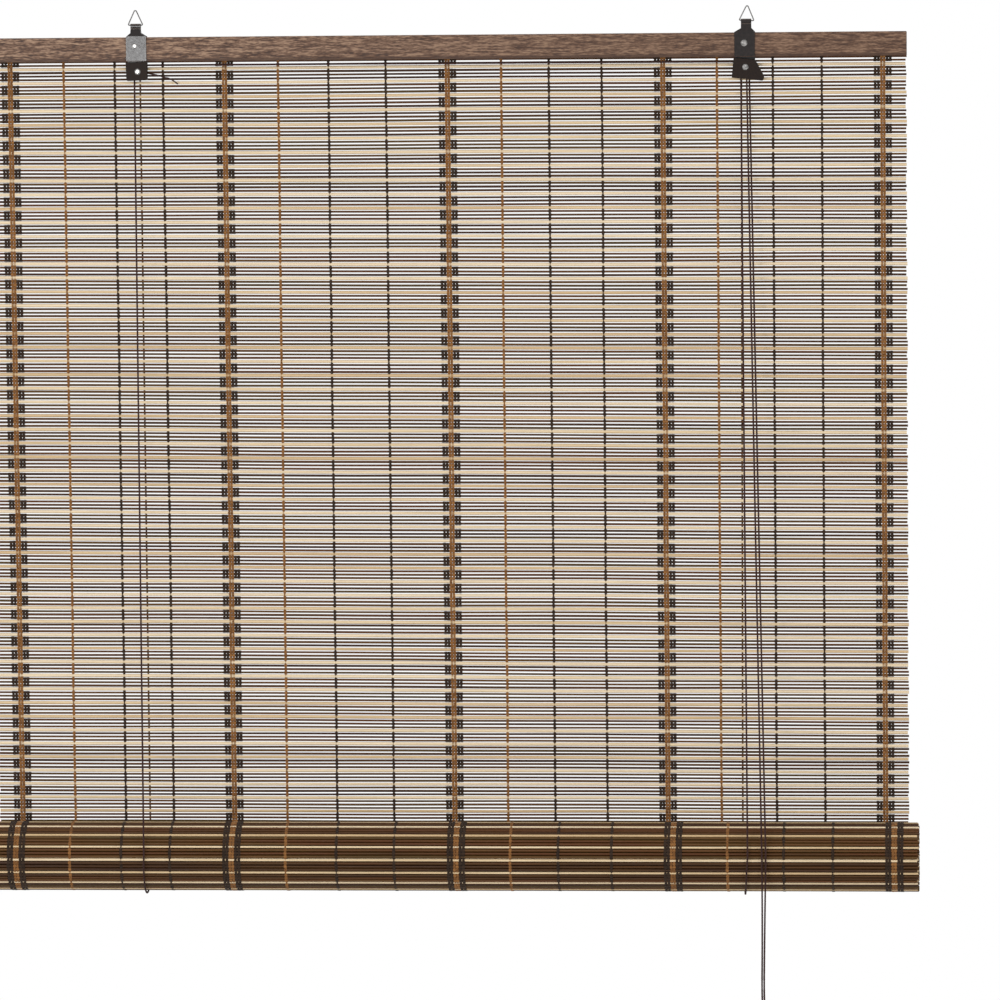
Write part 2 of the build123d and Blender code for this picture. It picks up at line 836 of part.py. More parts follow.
# Loose end of cord, knotted behind the left cover
tail_points = [
    (axle_l + tail_knot[0], tail_knot[1], axle_height + tail_knot[2]),
    (-306.2, -0.6, -69.3),
    (-300.4, -0.9, -72.2),
    (-295.4, -0.9, -72.5),
    (-290.5, -0.7, -75.5),
    (-285.5, -0.5, -79.2),
]
with BuildPart() as cord_tail_left:
    with BuildLine() as tail_route:
        FilletPolyline(*tail_points, radius=soft_radii(tail_points))
    tail_wire = tail_route.wires()[0]
    with BuildSketch(Plane(origin=tail_wire @ 0, z_dir=tail_wire % 0)):
        RegularPolygon(loose_end / 2, cord_sides)
    sweep(path=tail_wire)
    with BuildSketch(Plane.XZ.offset(-tail_points[0][1])):
        with Locations((tail_points[0][0], tail_points[0][2])):
            RegularPolygon(tail_knot_radius, cord_sides)
    extrude(amount=tail_knot_radius, both=True)
print("cord_tail_left length", round(tail_wire.length, 1), "arc radii", soft_radii(tail_points))
save(cord_tail_left.part, "cord_tail_left")
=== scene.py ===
import logging
import random
from dataclasses import dataclass, field
from enum import Enum
from math import ceil, cos, pi, radians, sin
from typing import Iterator, Sequence

import bmesh
import bpy
from mathutils import Matrix, Vector, noise


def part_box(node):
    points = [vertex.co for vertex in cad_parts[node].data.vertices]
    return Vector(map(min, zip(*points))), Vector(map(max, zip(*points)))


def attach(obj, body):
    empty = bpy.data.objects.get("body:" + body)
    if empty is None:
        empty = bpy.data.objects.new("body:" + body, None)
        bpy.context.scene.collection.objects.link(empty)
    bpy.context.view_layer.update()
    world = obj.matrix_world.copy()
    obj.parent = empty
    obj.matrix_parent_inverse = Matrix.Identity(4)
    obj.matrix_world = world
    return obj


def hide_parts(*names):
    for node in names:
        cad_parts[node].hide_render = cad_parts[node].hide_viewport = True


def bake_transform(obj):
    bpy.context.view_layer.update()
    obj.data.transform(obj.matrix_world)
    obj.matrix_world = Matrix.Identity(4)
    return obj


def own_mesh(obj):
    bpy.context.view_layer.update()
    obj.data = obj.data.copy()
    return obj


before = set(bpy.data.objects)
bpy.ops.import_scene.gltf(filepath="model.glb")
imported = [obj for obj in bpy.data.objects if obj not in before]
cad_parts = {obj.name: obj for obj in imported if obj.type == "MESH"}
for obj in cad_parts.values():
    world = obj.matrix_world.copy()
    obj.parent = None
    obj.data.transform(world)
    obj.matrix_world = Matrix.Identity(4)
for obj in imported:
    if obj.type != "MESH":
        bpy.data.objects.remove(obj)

# A roll-up blind of stained bamboo reeds, hung by two rings and half rolled up.
# Metres, +Z up, front towards -Y. The origin lies between the two hooks.

MM = 0.001
Rgb = tuple[float, float, float]
Socket = bpy.types.NodeSocket
log = logging.getLogger("blind")


class Body(Enum):
    """Bodies of the frame that pieces ride on."""

    HEAD = "head"
    ROLL = "roll"
    SLING = "roll_sling"
    PULL_END = "pull_end"


class Warp(Enum):
    """Kinds of warp column, by how they cover the reeds."""

    DARK_BAND = "dark_band"
    ORANGE_BAND = "orange_band"
    DARK_SINGLE = "dark_single"
    ORANGE_SINGLE = "orange_single"


def linear(colour: Rgb) -> tuple[float, ...]:
    """Scene-linear colour of a colour as a screen shows it.

    Args:
        colour: Red, green and blue, 0 to 1, as seen on a screen.

    Returns:
        Linear red, green and blue, and a full alpha.
    """
    bright = [((part + 0.055) / 1.055) ** 2.4 if part > 0.04045 else part / 12.92 for part in colour]
    return (*bright, 1.0)


class Bench:
    """Workbench on which the nodes of one material are put together."""

    def __init__(self, name: str) -> None:
        """Start a material with a plain shader."""
        self.material = bpy.data.materials.new(name)
        self.material.use_nodes = True
        self.nodes = self.material.node_tree.nodes
        self.links = self.material.node_tree.links
        self.shader = self.nodes["Principled BSDF"]

    def feed(self, socket: Socket, value: object) -> None:
        """Link a socket, or set its value."""
        if isinstance(value, bpy.types.NodeSocket):
            self.links.new(value, socket)
        else:
            socket.default_value = value

    def node(self, kind: str, settings: dict[str, object] | None = None,
             **values: object) -> bpy.types.Node:
        """Add a node.

        Args:
            kind: Blender's name of the node type.
            settings: Properties of the node itself.
            values: Inputs by name, each a value or a socket to link.

        Returns:
            The new node.
        """
        made = self.nodes.new(kind)
        for key, value in (settings or {}).items():
            setattr(made, key, value)
        for key, value in values.items():
            self.feed(made.inputs[key], value)
        return made

    def place(self, stretch: tuple[float, float, float]) -> Socket:
        """Object coordinates, multiplied by stretch."""
        spot = self.node("ShaderNodeTexCoord").outputs["Object"]
        return self.node("ShaderNodeMapping", Vector=spot, Scale=stretch).outputs["Vector"]

    def axis(self, index: int) -> Socket:
        """One object coordinate, in metres."""
        spot = self.node("ShaderNodeTexCoord").outputs["Object"]
        return self.node("ShaderNodeSeparateXYZ", Vector=spot).outputs[index]

    def noise(self, where: Socket, detail: float = 3.0, roughness: float = 0.55) -> Socket:
        """Cloudy pattern, one cell for each unit of where."""
        made = self.node("ShaderNodeTexNoise", Vector=where, Scale=1.0, Detail=detail,
                         Roughness=roughness)
        return made.outputs["Fac"]

    def attribute(self, name: str) -> Socket:
        """A number stored on the mesh."""
        return self.node("ShaderNodeAttribute", {"attribute_name": name}).outputs["Fac"]

    def count(self, operation: str, first: object, second: object = 0.0) -> Socket:
        """Arithmetic on two numbers."""
        made = self.nodes.new("ShaderNodeMath")
        made.operation = operation
        self.feed(made.inputs[0], first)
        self.feed(made.inputs[1], second)
        return made.outputs[0]

    def weigh(self, first: Socket, share: float, second: Socket, other_share: float) -> Socket:
        """Sum of two patterns, each multiplied by its share."""
        return self.count("ADD", self.count("MULTIPLY", first, share),
                          self.count("MULTIPLY", second, other_share))

    def span(self, value: Socket, source: tuple[float, float],
             target: tuple[float, float]) -> Socket:
        """Map one range of numbers to another, clamped at its ends."""
        made = self.nodes.new("ShaderNodeMapRange")
        for socket, number in zip(made.inputs[1:5], (*source, *target)):
            socket.default_value = number
        self.feed(made.inputs[0], value)
        return made.outputs[0]

    def ramp(self, factor: Socket, stops: Sequence[tuple[float, Rgb]]) -> Socket:
        """Blend colours along a factor.

        Args:
            factor: What chooses the colour.
            stops: Rising places, each with its colour.

        Returns:
            The colour.
        """
        made = self.node("ShaderNodeValToRGB", Fac=factor)
        bar = made.color_ramp
        while len(bar.elements) < len(stops):
            bar.elements.new(1.0)
        for element, (at, colour) in zip(bar.elements, stops):
            element.position = at
            element.color = linear(colour)
        return made.outputs["Color"]

    def mix(self, factor: object, first: object, second: object, blend: str = "MIX") -> Socket:
        """Mix two colours."""
        made = self.nodes.new("ShaderNodeMix")
        made.data_type = "RGBA"
        made.blend_type = blend
        for index, value in ((0, factor), (6, first), (7, second)):
            self.feed(made.inputs[index], value)
        return made.outputs[2]

    def dress(self, colour: object, roughness: object, height: Socket, depth: float,
              **more: float) -> None:
        """Join the pattern to the shader.

        Args:
            colour: Base colour.
            roughness: Roughness, a number or a pattern.
            height: Pattern that the surface rises and falls by.
            depth: Height of that relief in metres.
            more: Other inputs of the shader, each a plain number.
        """
        bump = self.node("ShaderNodeBump", Height=height, Distance=depth, Strength=1.0)
        self.feed(self.shader.inputs["Base Color"], colour)
        self.feed(self.shader.inputs["Roughness"], roughness)
        self.links.new(bump.outputs["Normal"], self.shader.inputs["Normal"])
        for name, value in more.items():
            self.shader.inputs[name.replace("_", " ")].default_value = value


@dataclass(frozen=True)
class Finish:
    """A surface finish, which makes its own material."""

    name: str
    slot: str

    def material(self) -> bpy.types.Material:
        """The finish's material, built the first time that it is asked for."""
        found = bpy.data.materials.get(self.name)
        if found:
            return found
        bench = Bench(self.name)
        self.build(bench)
        return bench.material

    def build(self, bench: Bench) -> None:
        """Put the finish's nodes together."""
        raise NotImplementedError


@dataclass(frozen=True)
class StainedWood(Finish):
    """Stained batten: short streaky grain along X, with painted light that leaves it lighter towards one
    end and painted shade along its lower edge.
    """

    dark: Rgb = (0.24, 0.155, 0.115)
    middle: Rgb = (0.44, 0.33, 0.265)
    light: Rgb = (0.68, 0.56, 0.47)
    streak: tuple[float, float, float] = (45.0, 480.0, 480.0)
    fleck: tuple[float, float, float] = (170.0, 1000.0, 1000.0)
    cloud: tuple[float, float, float] = (9.0, 90.0, 90.0)
    painted_light_end: float = -0.36
    painted_shade_end: float = 0.25
    painted_shade_low: float = -0.0522
    painted_shade_high: float = -0.0502
    roughness: float = 0.52

    def build(self, bench: Bench) -> None:
        """Streaks and flecks on a cloudy stain, with painted light and shade from end to end and painted
        shade along the lower edge.
        """
        streaks = bench.noise(bench.place(self.streak), 4.0, 0.65)
        flecks = bench.noise(bench.place(self.fleck), 2.0)
        clouds = bench.noise(bench.place(self.cloud), 2.0)
        grain = bench.span(bench.weigh(streaks, 0.55, flecks, 0.45), (0.41, 0.59), (0.0, 1.0))
        grain = bench.weigh(grain, 0.8, clouds, 0.2)
        colour = bench.ramp(grain, ((0.1, self.dark), (0.45, self.middle), (0.9, self.light)))
        # Painted light and shade: the stain keeps its plain colour towards the left end and takes a
        # darker, shaded tone towards the right.
        fade = bench.span(bench.axis(0), (self.painted_light_end, self.painted_shade_end), (1.0, 0.0))
        shaded_tone = bench.mix(0.25, colour, linear(self.middle))
        shaded_tone = bench.mix(1.0, shaded_tone, (0.80, 0.76, 0.73, 1.0), "MULTIPLY")
        colour = bench.mix(fade, shaded_tone, colour)
        # Painted shade: darker along the batten's rounded lower edge.
        edge_shade = bench.span(bench.axis(2), (self.painted_shade_low, self.painted_shade_high), (0.75, 0.0))
        colour = bench.mix(edge_shade, colour, linear(self.dark))
        dull = bench.span(flecks, (0.3, 0.7), (self.roughness - 0.1, self.roughness + 0.14))
        bench.dress(colour, dull, flecks, 0.00012, Specular_IOR_Level=0.3)


@dataclass(frozen=True)
class SplitReed(Finish):
    """Bamboo reed: its own tone for each reed, changing in patches along it, and fine fibres."""

    tones: tuple[Rgb, ...] = ()
    fibre: tuple[float, float, float] = (22.0, 2600.0, 2600.0)
    patch: tuple[float, float, float] = (4.5, 240.0, 240.0)
    roughness: float = 0.5
    relief: float = 0.00006

    def build(self, bench: Bench) -> None:
        """Tone of the reed, changed along its length, with fine fibres."""
        fibres = bench.noise(bench.place(self.fibre), 3.0, 0.6)
        patches = bench.noise(bench.place(self.patch), 2.0)
        own = bench.attribute("tone")
        tone = bench.count("ADD", own, bench.span(patches, (0.3, 0.7), (-0.22, 0.22)))
        steps = len(self.tones) - 1
        stops = [(0.08 + 0.84 * at / steps, part) for at, part in enumerate(self.tones)]
        colour = bench.ramp(tone, stops)
        shade = bench.span(fibres, (0.32, 0.68), (0.80, 1.14))
        grey = bench.node("ShaderNodeCombineXYZ", X=shade, Y=shade, Z=shade).outputs[0]
        colour = bench.mix(1.0, colour, grey, "MULTIPLY")
        dull = bench.span(fibres, (0.3, 0.7), (self.roughness - 0.1, self.roughness + 0.12))
        bench.dress(colour, dull, fibres, self.relief, Specular_IOR_Level=0.25)


@dataclass(frozen=True)
class SpunThread(Finish):
    """Warp thread: fine strands that run slantwise over each wrap."""

    dark: Rgb = (0.10, 0.065, 0.045)
    light: Rgb = (0.27, 0.20, 0.15)
    strands: float = 900.0
    roughness: float = 0.82

    def build(self, bench: Bench) -> None:
        """Slanting strands, and a tone of its own for each wrap."""
        spot = bench.node("ShaderNodeTexCoord").outputs["Object"]
        settings = {"wave_type": "BANDS", "bands_direction": "DIAGONAL"}
        wave = bench.node("ShaderNodeTexWave", settings, Vector=spot, Scale=self.strands,
                          Distortion=1.5)
        fuzz = bench.noise(bench.place((1500.0, 1500.0, 1500.0)), 2.0)
        twist = bench.weigh(wave.outputs["Fac"], 0.6, fuzz, 0.4)
        tone = bench.span(bench.attribute("tone"), (0.0, 1.0), (-0.18, 0.18))
        colour = bench.ramp(bench.count("ADD", twist, tone), ((0.1, self.dark), (0.85, self.light)))
        bench.dress(colour, self.roughness, twist, 0.00012, Sheen_Weight=0.08, Sheen_Roughness=0.5,
                    Specular_IOR_Level=0.2)


@dataclass(frozen=True)
class TwistedFibre(Finish):
    """Cord of three strands, with painted highlights on them and painted shade between them, by the
    piece's own UV map.
    """

    dark: Rgb = (0.09, 0.045, 0.04)
    light: Rgb = (0.28, 0.15, 0.135)
    lobes: int = 3
    roughness: float = 0.7

    def build(self, bench: Bench) -> None:
        """Painted highlight on each strand and painted shade between, with a fine fuzz."""
        across = bench.node("ShaderNodeUVMap")
        around = bench.node("ShaderNodeSeparateXYZ", Vector=across.outputs["UV"]).outputs[1]
        # Painted light and shade: lighter on each strand's crown, darker in the grooves between strands.
        turn = bench.count("COSINE", bench.count("MULTIPLY", around, 2 * pi * self.lobes))
        strand_shade = bench.span(turn, (-1.0, 1.0), (0.0, 1.0))
        fuzz = bench.noise(bench.place((900.0, 900.0, 900.0)), 3.0)
        mixed = bench.weigh(strand_shade, 0.6, fuzz, 0.45)
        colour = bench.ramp(mixed, ((0.15, self.dark), (0.9, self.light)))
        bench.dress(colour, self.roughness, fuzz, 0.0001, Sheen_Weight=0.1, Sheen_Roughness=0.45,
                    Specular_IOR_Level=0.25)


@dataclass(frozen=True)
class Lacquer(Finish):
    """Dark lacquered sheet steel: a little mottled, with painted glints across the curl of its neck."""

    dark: Rgb = (0.06, 0.035, 0.03)
    light: Rgb = (0.13, 0.085, 0.075)
    painted_glint: Rgb = (0.50, 0.45, 0.42)
    painted_glint_heights: tuple[float, ...] = (-0.0143, -0.0188)
    roughness: float = 0.18
    specular: float = 0.3
    coat: float = 0.12

    def build(self, bench: Bench) -> None:
        """Mottled lacquer with an orange-peel surface."""
        mottle = bench.noise(bench.place((420.0, 420.0, 420.0)), 4.0, 0.6)
        peel = bench.noise(bench.place((1600.0, 1600.0, 1600.0)), 2.0)
        colour = bench.ramp(mottle, ((0.3, self.dark), (0.75, self.light)))
        height = bench.axis(2)
        # Painted highlights: bright lines at the heights where the curled neck catches the light.
        for line in self.painted_glint_heights:
            away = bench.count("ABSOLUTE", bench.count("SUBTRACT", height, line))
            glint_share = bench.span(away, (0.0001, 0.0007), (0.9, 0.0))
            colour = bench.mix(bench.count("MULTIPLY", glint_share, mottle), colour, linear(self.painted_glint))
        dull = bench.span(mottle, (0.3, 0.7), (self.roughness - 0.04, self.roughness + 0.08))
        bench.dress(colour, dull, peel, 0.00001, Specular_IOR_Level=self.specular,
                    Coat_Weight=self.coat, Coat_Roughness=0.16)


@dataclass(frozen=True)
class Plating(Finish):
    """Bright plated steel with fine brushing and duller spots."""

    dark: Rgb = (0.52, 0.51, 0.51)
    light: Rgb = (0.80, 0.79, 0.79)
    roughness: float = 0.24

    def build(self, bench: Bench) -> None:
        """Brushed plating."""
        brush = bench.noise(bench.place((2200.0, 300.0, 2200.0)), 3.0, 0.6)
        spots = bench.noise(bench.place((500.0, 500.0, 500.0)), 2.0)
        colour = bench.ramp(spots, ((0.3, self.dark), (0.65, self.light)))
        dull = bench.span(brush, (0.3, 0.7), (self.roughness - 0.08, self.roughness + 0.14))
        bench.dress(colour, dull, brush, 0.00001, Metallic=1.0)


@dataclass(frozen=True)
class Moulding(Finish):
    """Moulded plastic of the pulleys."""

    colour: Rgb = (0.24, 0.20, 0.18)
    roughness: float = 0.45

    def build(self, bench: Bench) -> None:
        """Fine moulded grain."""
        grain = bench.noise(bench.place((1800.0, 1800.0, 1800.0)), 2.0)
        darker = tuple(part * 0.8 for part in self.colour)
        colour = bench.ramp(grain, ((0.3, darker), (0.7, self.colour)))
        dull = bench.span(grain, (0.3, 0.7), (self.roughness - 0.08, self.roughness + 0.1))
        bench.dress(colour, dull, grain, 0.00002)


RAIL_WOOD = StainedWood("finish_rail_wood", "rail_wood")
# These settings put the tassel beyond the rail's painted light and painted edge shade, so it takes the
# darker tone all over.
TASSEL_WOOD = StainedWood(
    "finish_tassel_wood", "tassel_wood", streak=(300.0, 300.0, 40.0), fleck=(1200.0, 1200.0, 160.0),
    painted_light_end=-2.0, painted_shade_end=0.0, painted_shade_low=-9.0, painted_shade_high=-8.0, roughness=0.4,
)
DARK_REED = SplitReed(
    "finish_dark_reed", "dark_reed",
    ((0.22, 0.12, 0.05), (0.31, 0.20, 0.08), (0.36, 0.21, 0.10), (0.38, 0.26, 0.12),
     (0.31, 0.23, 0.10)),
)
NATURAL_REED = SplitReed(
    "finish_natural_reed", "natural_reed",
    ((0.86, 0.74, 0.57), (0.93, 0.83, 0.67), (0.98, 0.90, 0.77), (0.95, 0.86, 0.72)), roughness=0.45,
)
DARK_THREAD = SpunThread("finish_dark_thread", "dark_thread")
ORANGE_THREAD = SpunThread(
    "finish_orange_thread", "orange_thread", (0.28, 0.16, 0.08), (0.70, 0.49, 0.28),
)
BROWN_CORD = TwistedFibre("finish_brown_cord", "brown_cord")
DARK_METAL = Lacquer("finish_dark_metal", "dark_metal")
DULL_METAL = Lacquer(
    "finish_dull_metal", "dull_metal", (0.09, 0.055, 0.04), (0.16, 0.115, 0.09), roughness=0.5,
    specular=0.15, coat=0.0,
)
BRIGHT_STEEL = Plating("finish_bright_steel", "bright_steel")
RIVET_STEEL = Plating("finish_rivet_steel", "rivet_steel", (0.33, 0.325, 0.32), (0.66, 0.65, 0.64))
RING_WIRE = Plating("finish_ring_wire", "ring_wire", (0.36, 0.355, 0.35), (0.47, 0.465, 0.46), 0.32)
PULLEY_PLASTIC = Moulding("finish_pulley_plastic", "pulley_plastic")

THREADS = ((DARK_THREAD, "dark"), (ORANGE_THREAD, "orange"))
THREAD_SIDES = 6
WRAP_END_SHARE = 0.92
LINK_RADIUS = 1.3 * MM
LINK_VARIATION = 0.12
REED_SIDES = 8
ROD_SEED = 7


def settle(piece: bpy.types.Object, finish: Finish, body: Body | None, nodes: Sequence[str]) -> None:
    """Give a finished piece its material, its body and the nodes that it stands for.

    Args:
        piece: The piece, with its place in its mesh.
        finish: Its finish.
        body: The body that it rides on, or None where it bends between two.
        nodes: CAD nodes that it replaces.
    """
    if piece.data.materials:
        piece.data.materials[0] = finish.material()
    else:
        piece.data.materials.append(finish.material())
    if body:
        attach(piece, body.value)
    if nodes:
        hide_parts(*nodes)
    triangles = sum(len(face.vertices) - 2 for face in piece.data.polygons)
    log.info("%s: %d triangles", piece.name, triangles)


def new_piece(name: str, vertices: Sequence, edges: Sequence = (),
              faces: Sequence = ()) -> bpy.types.Object:
    """Object of a new mesh, linked to the scene, at the origin."""
    mesh = bpy.data.meshes.new(name)
    mesh.from_pydata([tuple(vertex) for vertex in vertices], edges, faces)
    piece = bpy.data.objects.new(name, mesh)
    bpy.context.scene.collection.objects.link(piece)
    return piece


def store(piece: bpy.types.Object, name: str, kind: str, values: Sequence[float]) -> None:
    """Keep a number, or three, at each point of a piece's mesh."""
    field_name = "vector" if kind == "FLOAT_VECTOR" else "value"
    piece.data.attributes.new(name, kind, "POINT").data.foreach_set(field_name, values)


def turn_outwards(mesh: bpy.types.Mesh, sharp_degrees: float = 50.0) -> None:
    """Point all faces outwards, shade them smooth and keep edges sharp past an angle."""
    work = bmesh.new()
    work.from_mesh(mesh)
    bmesh.ops.recalc_face_normals(work, faces=work.faces)
    for face in work.faces:
        face.smooth = True
    work.to_mesh(mesh)
    work.free()
    mesh.set_sharp_from_angle(angle=radians(sharp_degrees))


class Recipe:
    """A geometry node tree with named inputs, run once on a piece."""

    def __init__(self, name: str, inputs: Sequence[tuple[str, str]]) -> None:
        """Make the tree's sockets.

        Args:
            name: Name of the tree.
            inputs: Name and socket type of each input after the geometry.
        """
        self.tree = bpy.data.node_groups.new(name, "GeometryNodeTree")
        sockets = self.tree.interface
        sockets.new_socket("Geometry", in_out="INPUT", socket_type="NodeSocketGeometry")
        for label, kind in inputs:
            sockets.new_socket(label, in_out="INPUT", socket_type=kind)
        sockets.new_socket("Geometry", in_out="OUTPUT", socket_type="NodeSocketGeometry")
        self.entry = self.tree.nodes.new("NodeGroupInput").outputs
        self.exit = self.tree.nodes.new("NodeGroupOutput").inputs

    def node(self, kind: str, links: dict[str, object], **settings: object) -> bpy.types.Node:
        """Add a node.

        Args:
            kind: Blender's name of the node type.
            links: Inputs by name or identifier, each a value or a socket.
            settings: Properties of the node itself.

        Returns:
            The new node.
        """
        made = self.tree.nodes.new(kind)
        for key, value in settings.items():
            setattr(made, key, value)
        for key, value in links.items():
            target = next(socket for socket in made.inputs if key in (socket.identifier, socket.name))
            if isinstance(value, bpy.types.NodeSocket):
                self.tree.links.new(value, target)
            else:
                target.default_value = value
        return made

    def close(self, geometry: Socket) -> None:
        """End the tree: smooth shading, real geometry and the finish's material."""
        smooth = self.node("GeometryNodeSetShadeSmooth", {"Geometry": geometry})
        real = self.node("GeometryNodeRealizeInstances", {"Geometry": smooth.outputs[0]})
        links = {"Geometry": real.outputs[0], "Material": self.entry["Material"]}
        dressed = self.node("GeometryNodeSetMaterial", links)
        self.tree.links.new(dressed.outputs[0], self.exit[0])

    def run(self, piece: bpy.types.Object, values: dict[str, object]) -> None:
        """Run the tree on a piece and keep the result as its plain mesh.

        Args:
            piece: The piece whose mesh goes in.
            values: Values of the named inputs.
        """
        modifier = piece.modifiers.new("recipe", "NODES")
        modifier.node_group = self.tree
        for item in self.tree.interface.items_tree:
            if item.item_type == "SOCKET" and item.in_out == "INPUT" and item.name in values:
                modifier[item.identifier] = values[item.name]
        graph = bpy.context.evaluated_depsgraph_get()
        mesh = bpy.data.meshes.new_from_object(piece.evaluated_get(graph), depsgraph=graph)
        piece.modifiers.remove(modifier)
        spare = piece.data
        piece.data = mesh
        bpy.data.meshes.remove(spare)
        mesh.name = piece.name


class RodRecipe(Recipe):
    """Rods along lines, each a little thicker or thinner than the next."""

    def __init__(self) -> None:
        """Put the tree together."""
        super().__init__("rods_along_lines", (
            ("Radius", "NodeSocketFloat"), ("Sides", "NodeSocketInt"), ("Variation", "NodeSocketFloat"),
            ("Seed", "NodeSocketInt"), ("Material", "NodeSocketMaterial"),
        ))
        lines = self.node("GeometryNodeMeshToCurve", {"Mesh": self.entry["Geometry"]})
        ring = self.node(
            "GeometryNodeCurvePrimitiveCircle",
            {"Resolution": self.entry["Sides"], "Radius": self.entry["Radius"]}, mode="RADIUS",
        )
        number = self.node("GeometryNodeInputNamedAttribute", {"Name": "rod"}, data_type="INT")
        least = self.node("ShaderNodeMath", {"Value": 1.0}, operation="SUBTRACT")
        self.tree.links.new(self.entry["Variation"], least.inputs[1])
        most = self.node("ShaderNodeMath", {"Value": 1.0}, operation="ADD")
        self.tree.links.new(self.entry["Variation"], most.inputs[1])
        share = self.node("FunctionNodeRandomValue", {
            "Min_001": least.outputs[0], "Max_001": most.outputs[0],
            "ID": number.outputs[0], "Seed": self.entry["Seed"],
        }, data_type="FLOAT")
        rods = self.node("GeometryNodeCurveToMesh", {
            "Curve": lines.outputs[0], "Profile Curve": ring.outputs[0],
            "Scale": share.outputs[1], "Fill Caps": True,
        })
        self.close(rods.outputs[0])


class WrapRecipe(Recipe):
    """Turns of thread: a small barrel at each point, of the size stored there."""

    def __init__(self) -> None:
        """Put the tree together."""
        super().__init__("thread_wraps", (
            ("Sides", "NodeSocketInt"), ("End share", "NodeSocketFloat"),
            ("Material", "NodeSocketMaterial"),
        ))
        barrel = self.node("GeometryNodeMeshCylinder", {
            "Vertices": self.entry["Sides"], "Side Segments": 2, "Radius": 1.0, "Depth": 1.0,
        }, fill_type="NGON")
        spot = self.node("GeometryNodeInputPosition", {})
        height = self.node("ShaderNodeSeparateXYZ", {"Vector": spot.outputs[0]})
        far = self.node("ShaderNodeMath", {"Value": height.outputs[2]}, operation="ABSOLUTE")
        ends = self.node("ShaderNodeMath", {"Value": far.outputs[0]}, operation="GREATER_THAN")
        ends.inputs[1].default_value = 0.25
        shrink = self.node("ShaderNodeCombineXYZ", {
            "X": self.entry["End share"], "Y": self.entry["End share"], "Z": 1.0,
        })
        smaller = self.node("ShaderNodeVectorMath", {"Vector": spot.outputs[0]}, operation="MULTIPLY")
        self.tree.links.new(shrink.outputs[0], smaller.inputs[1])
        shaped = self.node("GeometryNodeSetPosition", {
            "Geometry": barrel.outputs[0], "Selection": ends.outputs[0], "Position": smaller.outputs[0],
        })
        laid = self.node("GeometryNodeTransform", {
            "Geometry": shaped.outputs[0], "Rotation": (0.0, pi / 2, 0.0),
        })
        size = self.node("GeometryNodeInputNamedAttribute", {"Name": "size"}, data_type="FLOAT_VECTOR")
        points = self.node("GeometryNodeMeshToPoints", {"Mesh": self.entry["Geometry"]})
        wraps = self.node("GeometryNodeInstanceOnPoints", {
            "Points": points.outputs[0], "Instance": laid.outputs[0], "Scale": size.outputs[0],
        })
        self.close(wraps.outputs[0])


@dataclass
class RodBatch:
    """Lines that become rods of one finish."""

    lines: list[list[Vector]] = field(default_factory=list)
    tones: list[float] = field(default_factory=list)

    def add(self, line: list[Vector], tone: float) -> None:
        """Take one more line, with the tone of its rod."""
        self.lines.append(line)
        self.tones.append(tone)

    def build(self, name: str, recipe: RodRecipe, radius: float, sides: int, variation: float,
              finish: Finish) -> bpy.types.Object:
        """Turn the lines into one piece.

        Args:
            name: Name of the piece.
            recipe: The rods' node tree.
            radius: Radius of a rod.
            sides: Faces around a rod.
            variation: Largest difference in thickness, as a share.
            finish: The rods' finish.

        Returns:
            The piece.
        """
        vertices = [spot for line in self.lines for spot in line]
        edges = []
        first = 0
        for line in self.lines:
            edges += [(first + step, first + step + 1) for step in range(len(line) - 1)]
            first += len(line)
        piece = new_piece(name, vertices, edges)
        numbers = [number for number, line in enumerate(self.lines) for _ in line]
        store(piece, "rod", "INT", numbers)
        store(piece, "tone", "FLOAT", [self.tones[number] for number in numbers])
        recipe.run(piece, {
            "Radius": radius, "Sides": sides, "Variation": variation, "Seed": ROD_SEED,
            "Material": finish.material(),
        })
        turn_outwards(piece.data)
        return piece

    def build_links(self, name: str, recipe: RodRecipe, finish: Finish) -> bpy.types.Object:
        """Turn the lines into one piece of thread that crosses between reeds."""
        return self.build(name, recipe, LINK_RADIUS, THREAD_SIDES, LINK_VARIATION, finish)


@dataclass
class WrapBatch:
    """Turns of thread of one colour."""

    spots: list[Vector] = field(default_factory=list)
    sizes: list[tuple[float, float, float]] = field(default_factory=list)
    tones: list[float] = field(default_factory=list)

    def add(self, spot: Vector, width: float, radius: float, tone: float) -> None:
        """Take one more turn of thread."""
        self.spots.append(spot)
        self.sizes.append((width, radius, radius))
        self.tones.append(tone)

    def build(self, name: str, recipe: WrapRecipe, finish: Finish) -> bpy.types.Object:
        """Turn the spots into one piece.

        Args:
            name: Name of the piece.
            recipe: The wraps' node tree.
            finish: The thread's finish.

        Returns:
            The piece.
        """
        piece = new_piece(name, self.spots)
        flat = [number for size in self.sizes for number in size]
        store(piece, "size", "FLOAT_VECTOR", flat)
        store(piece, "tone", "FLOAT", self.tones)
        recipe.run(piece, {
            "Sides": THREAD_SIDES, "End share": WRAP_END_SHARE, "Material": finish.material(),
        })
        turn_outwards(piece.data, 80.0)
        return piece


def by_thread(batch: type) -> dict[SpunThread, RodBatch | WrapBatch]:
    """An empty batch for each colour of thread."""
    return {finish: batch() for finish, _ in THREADS}


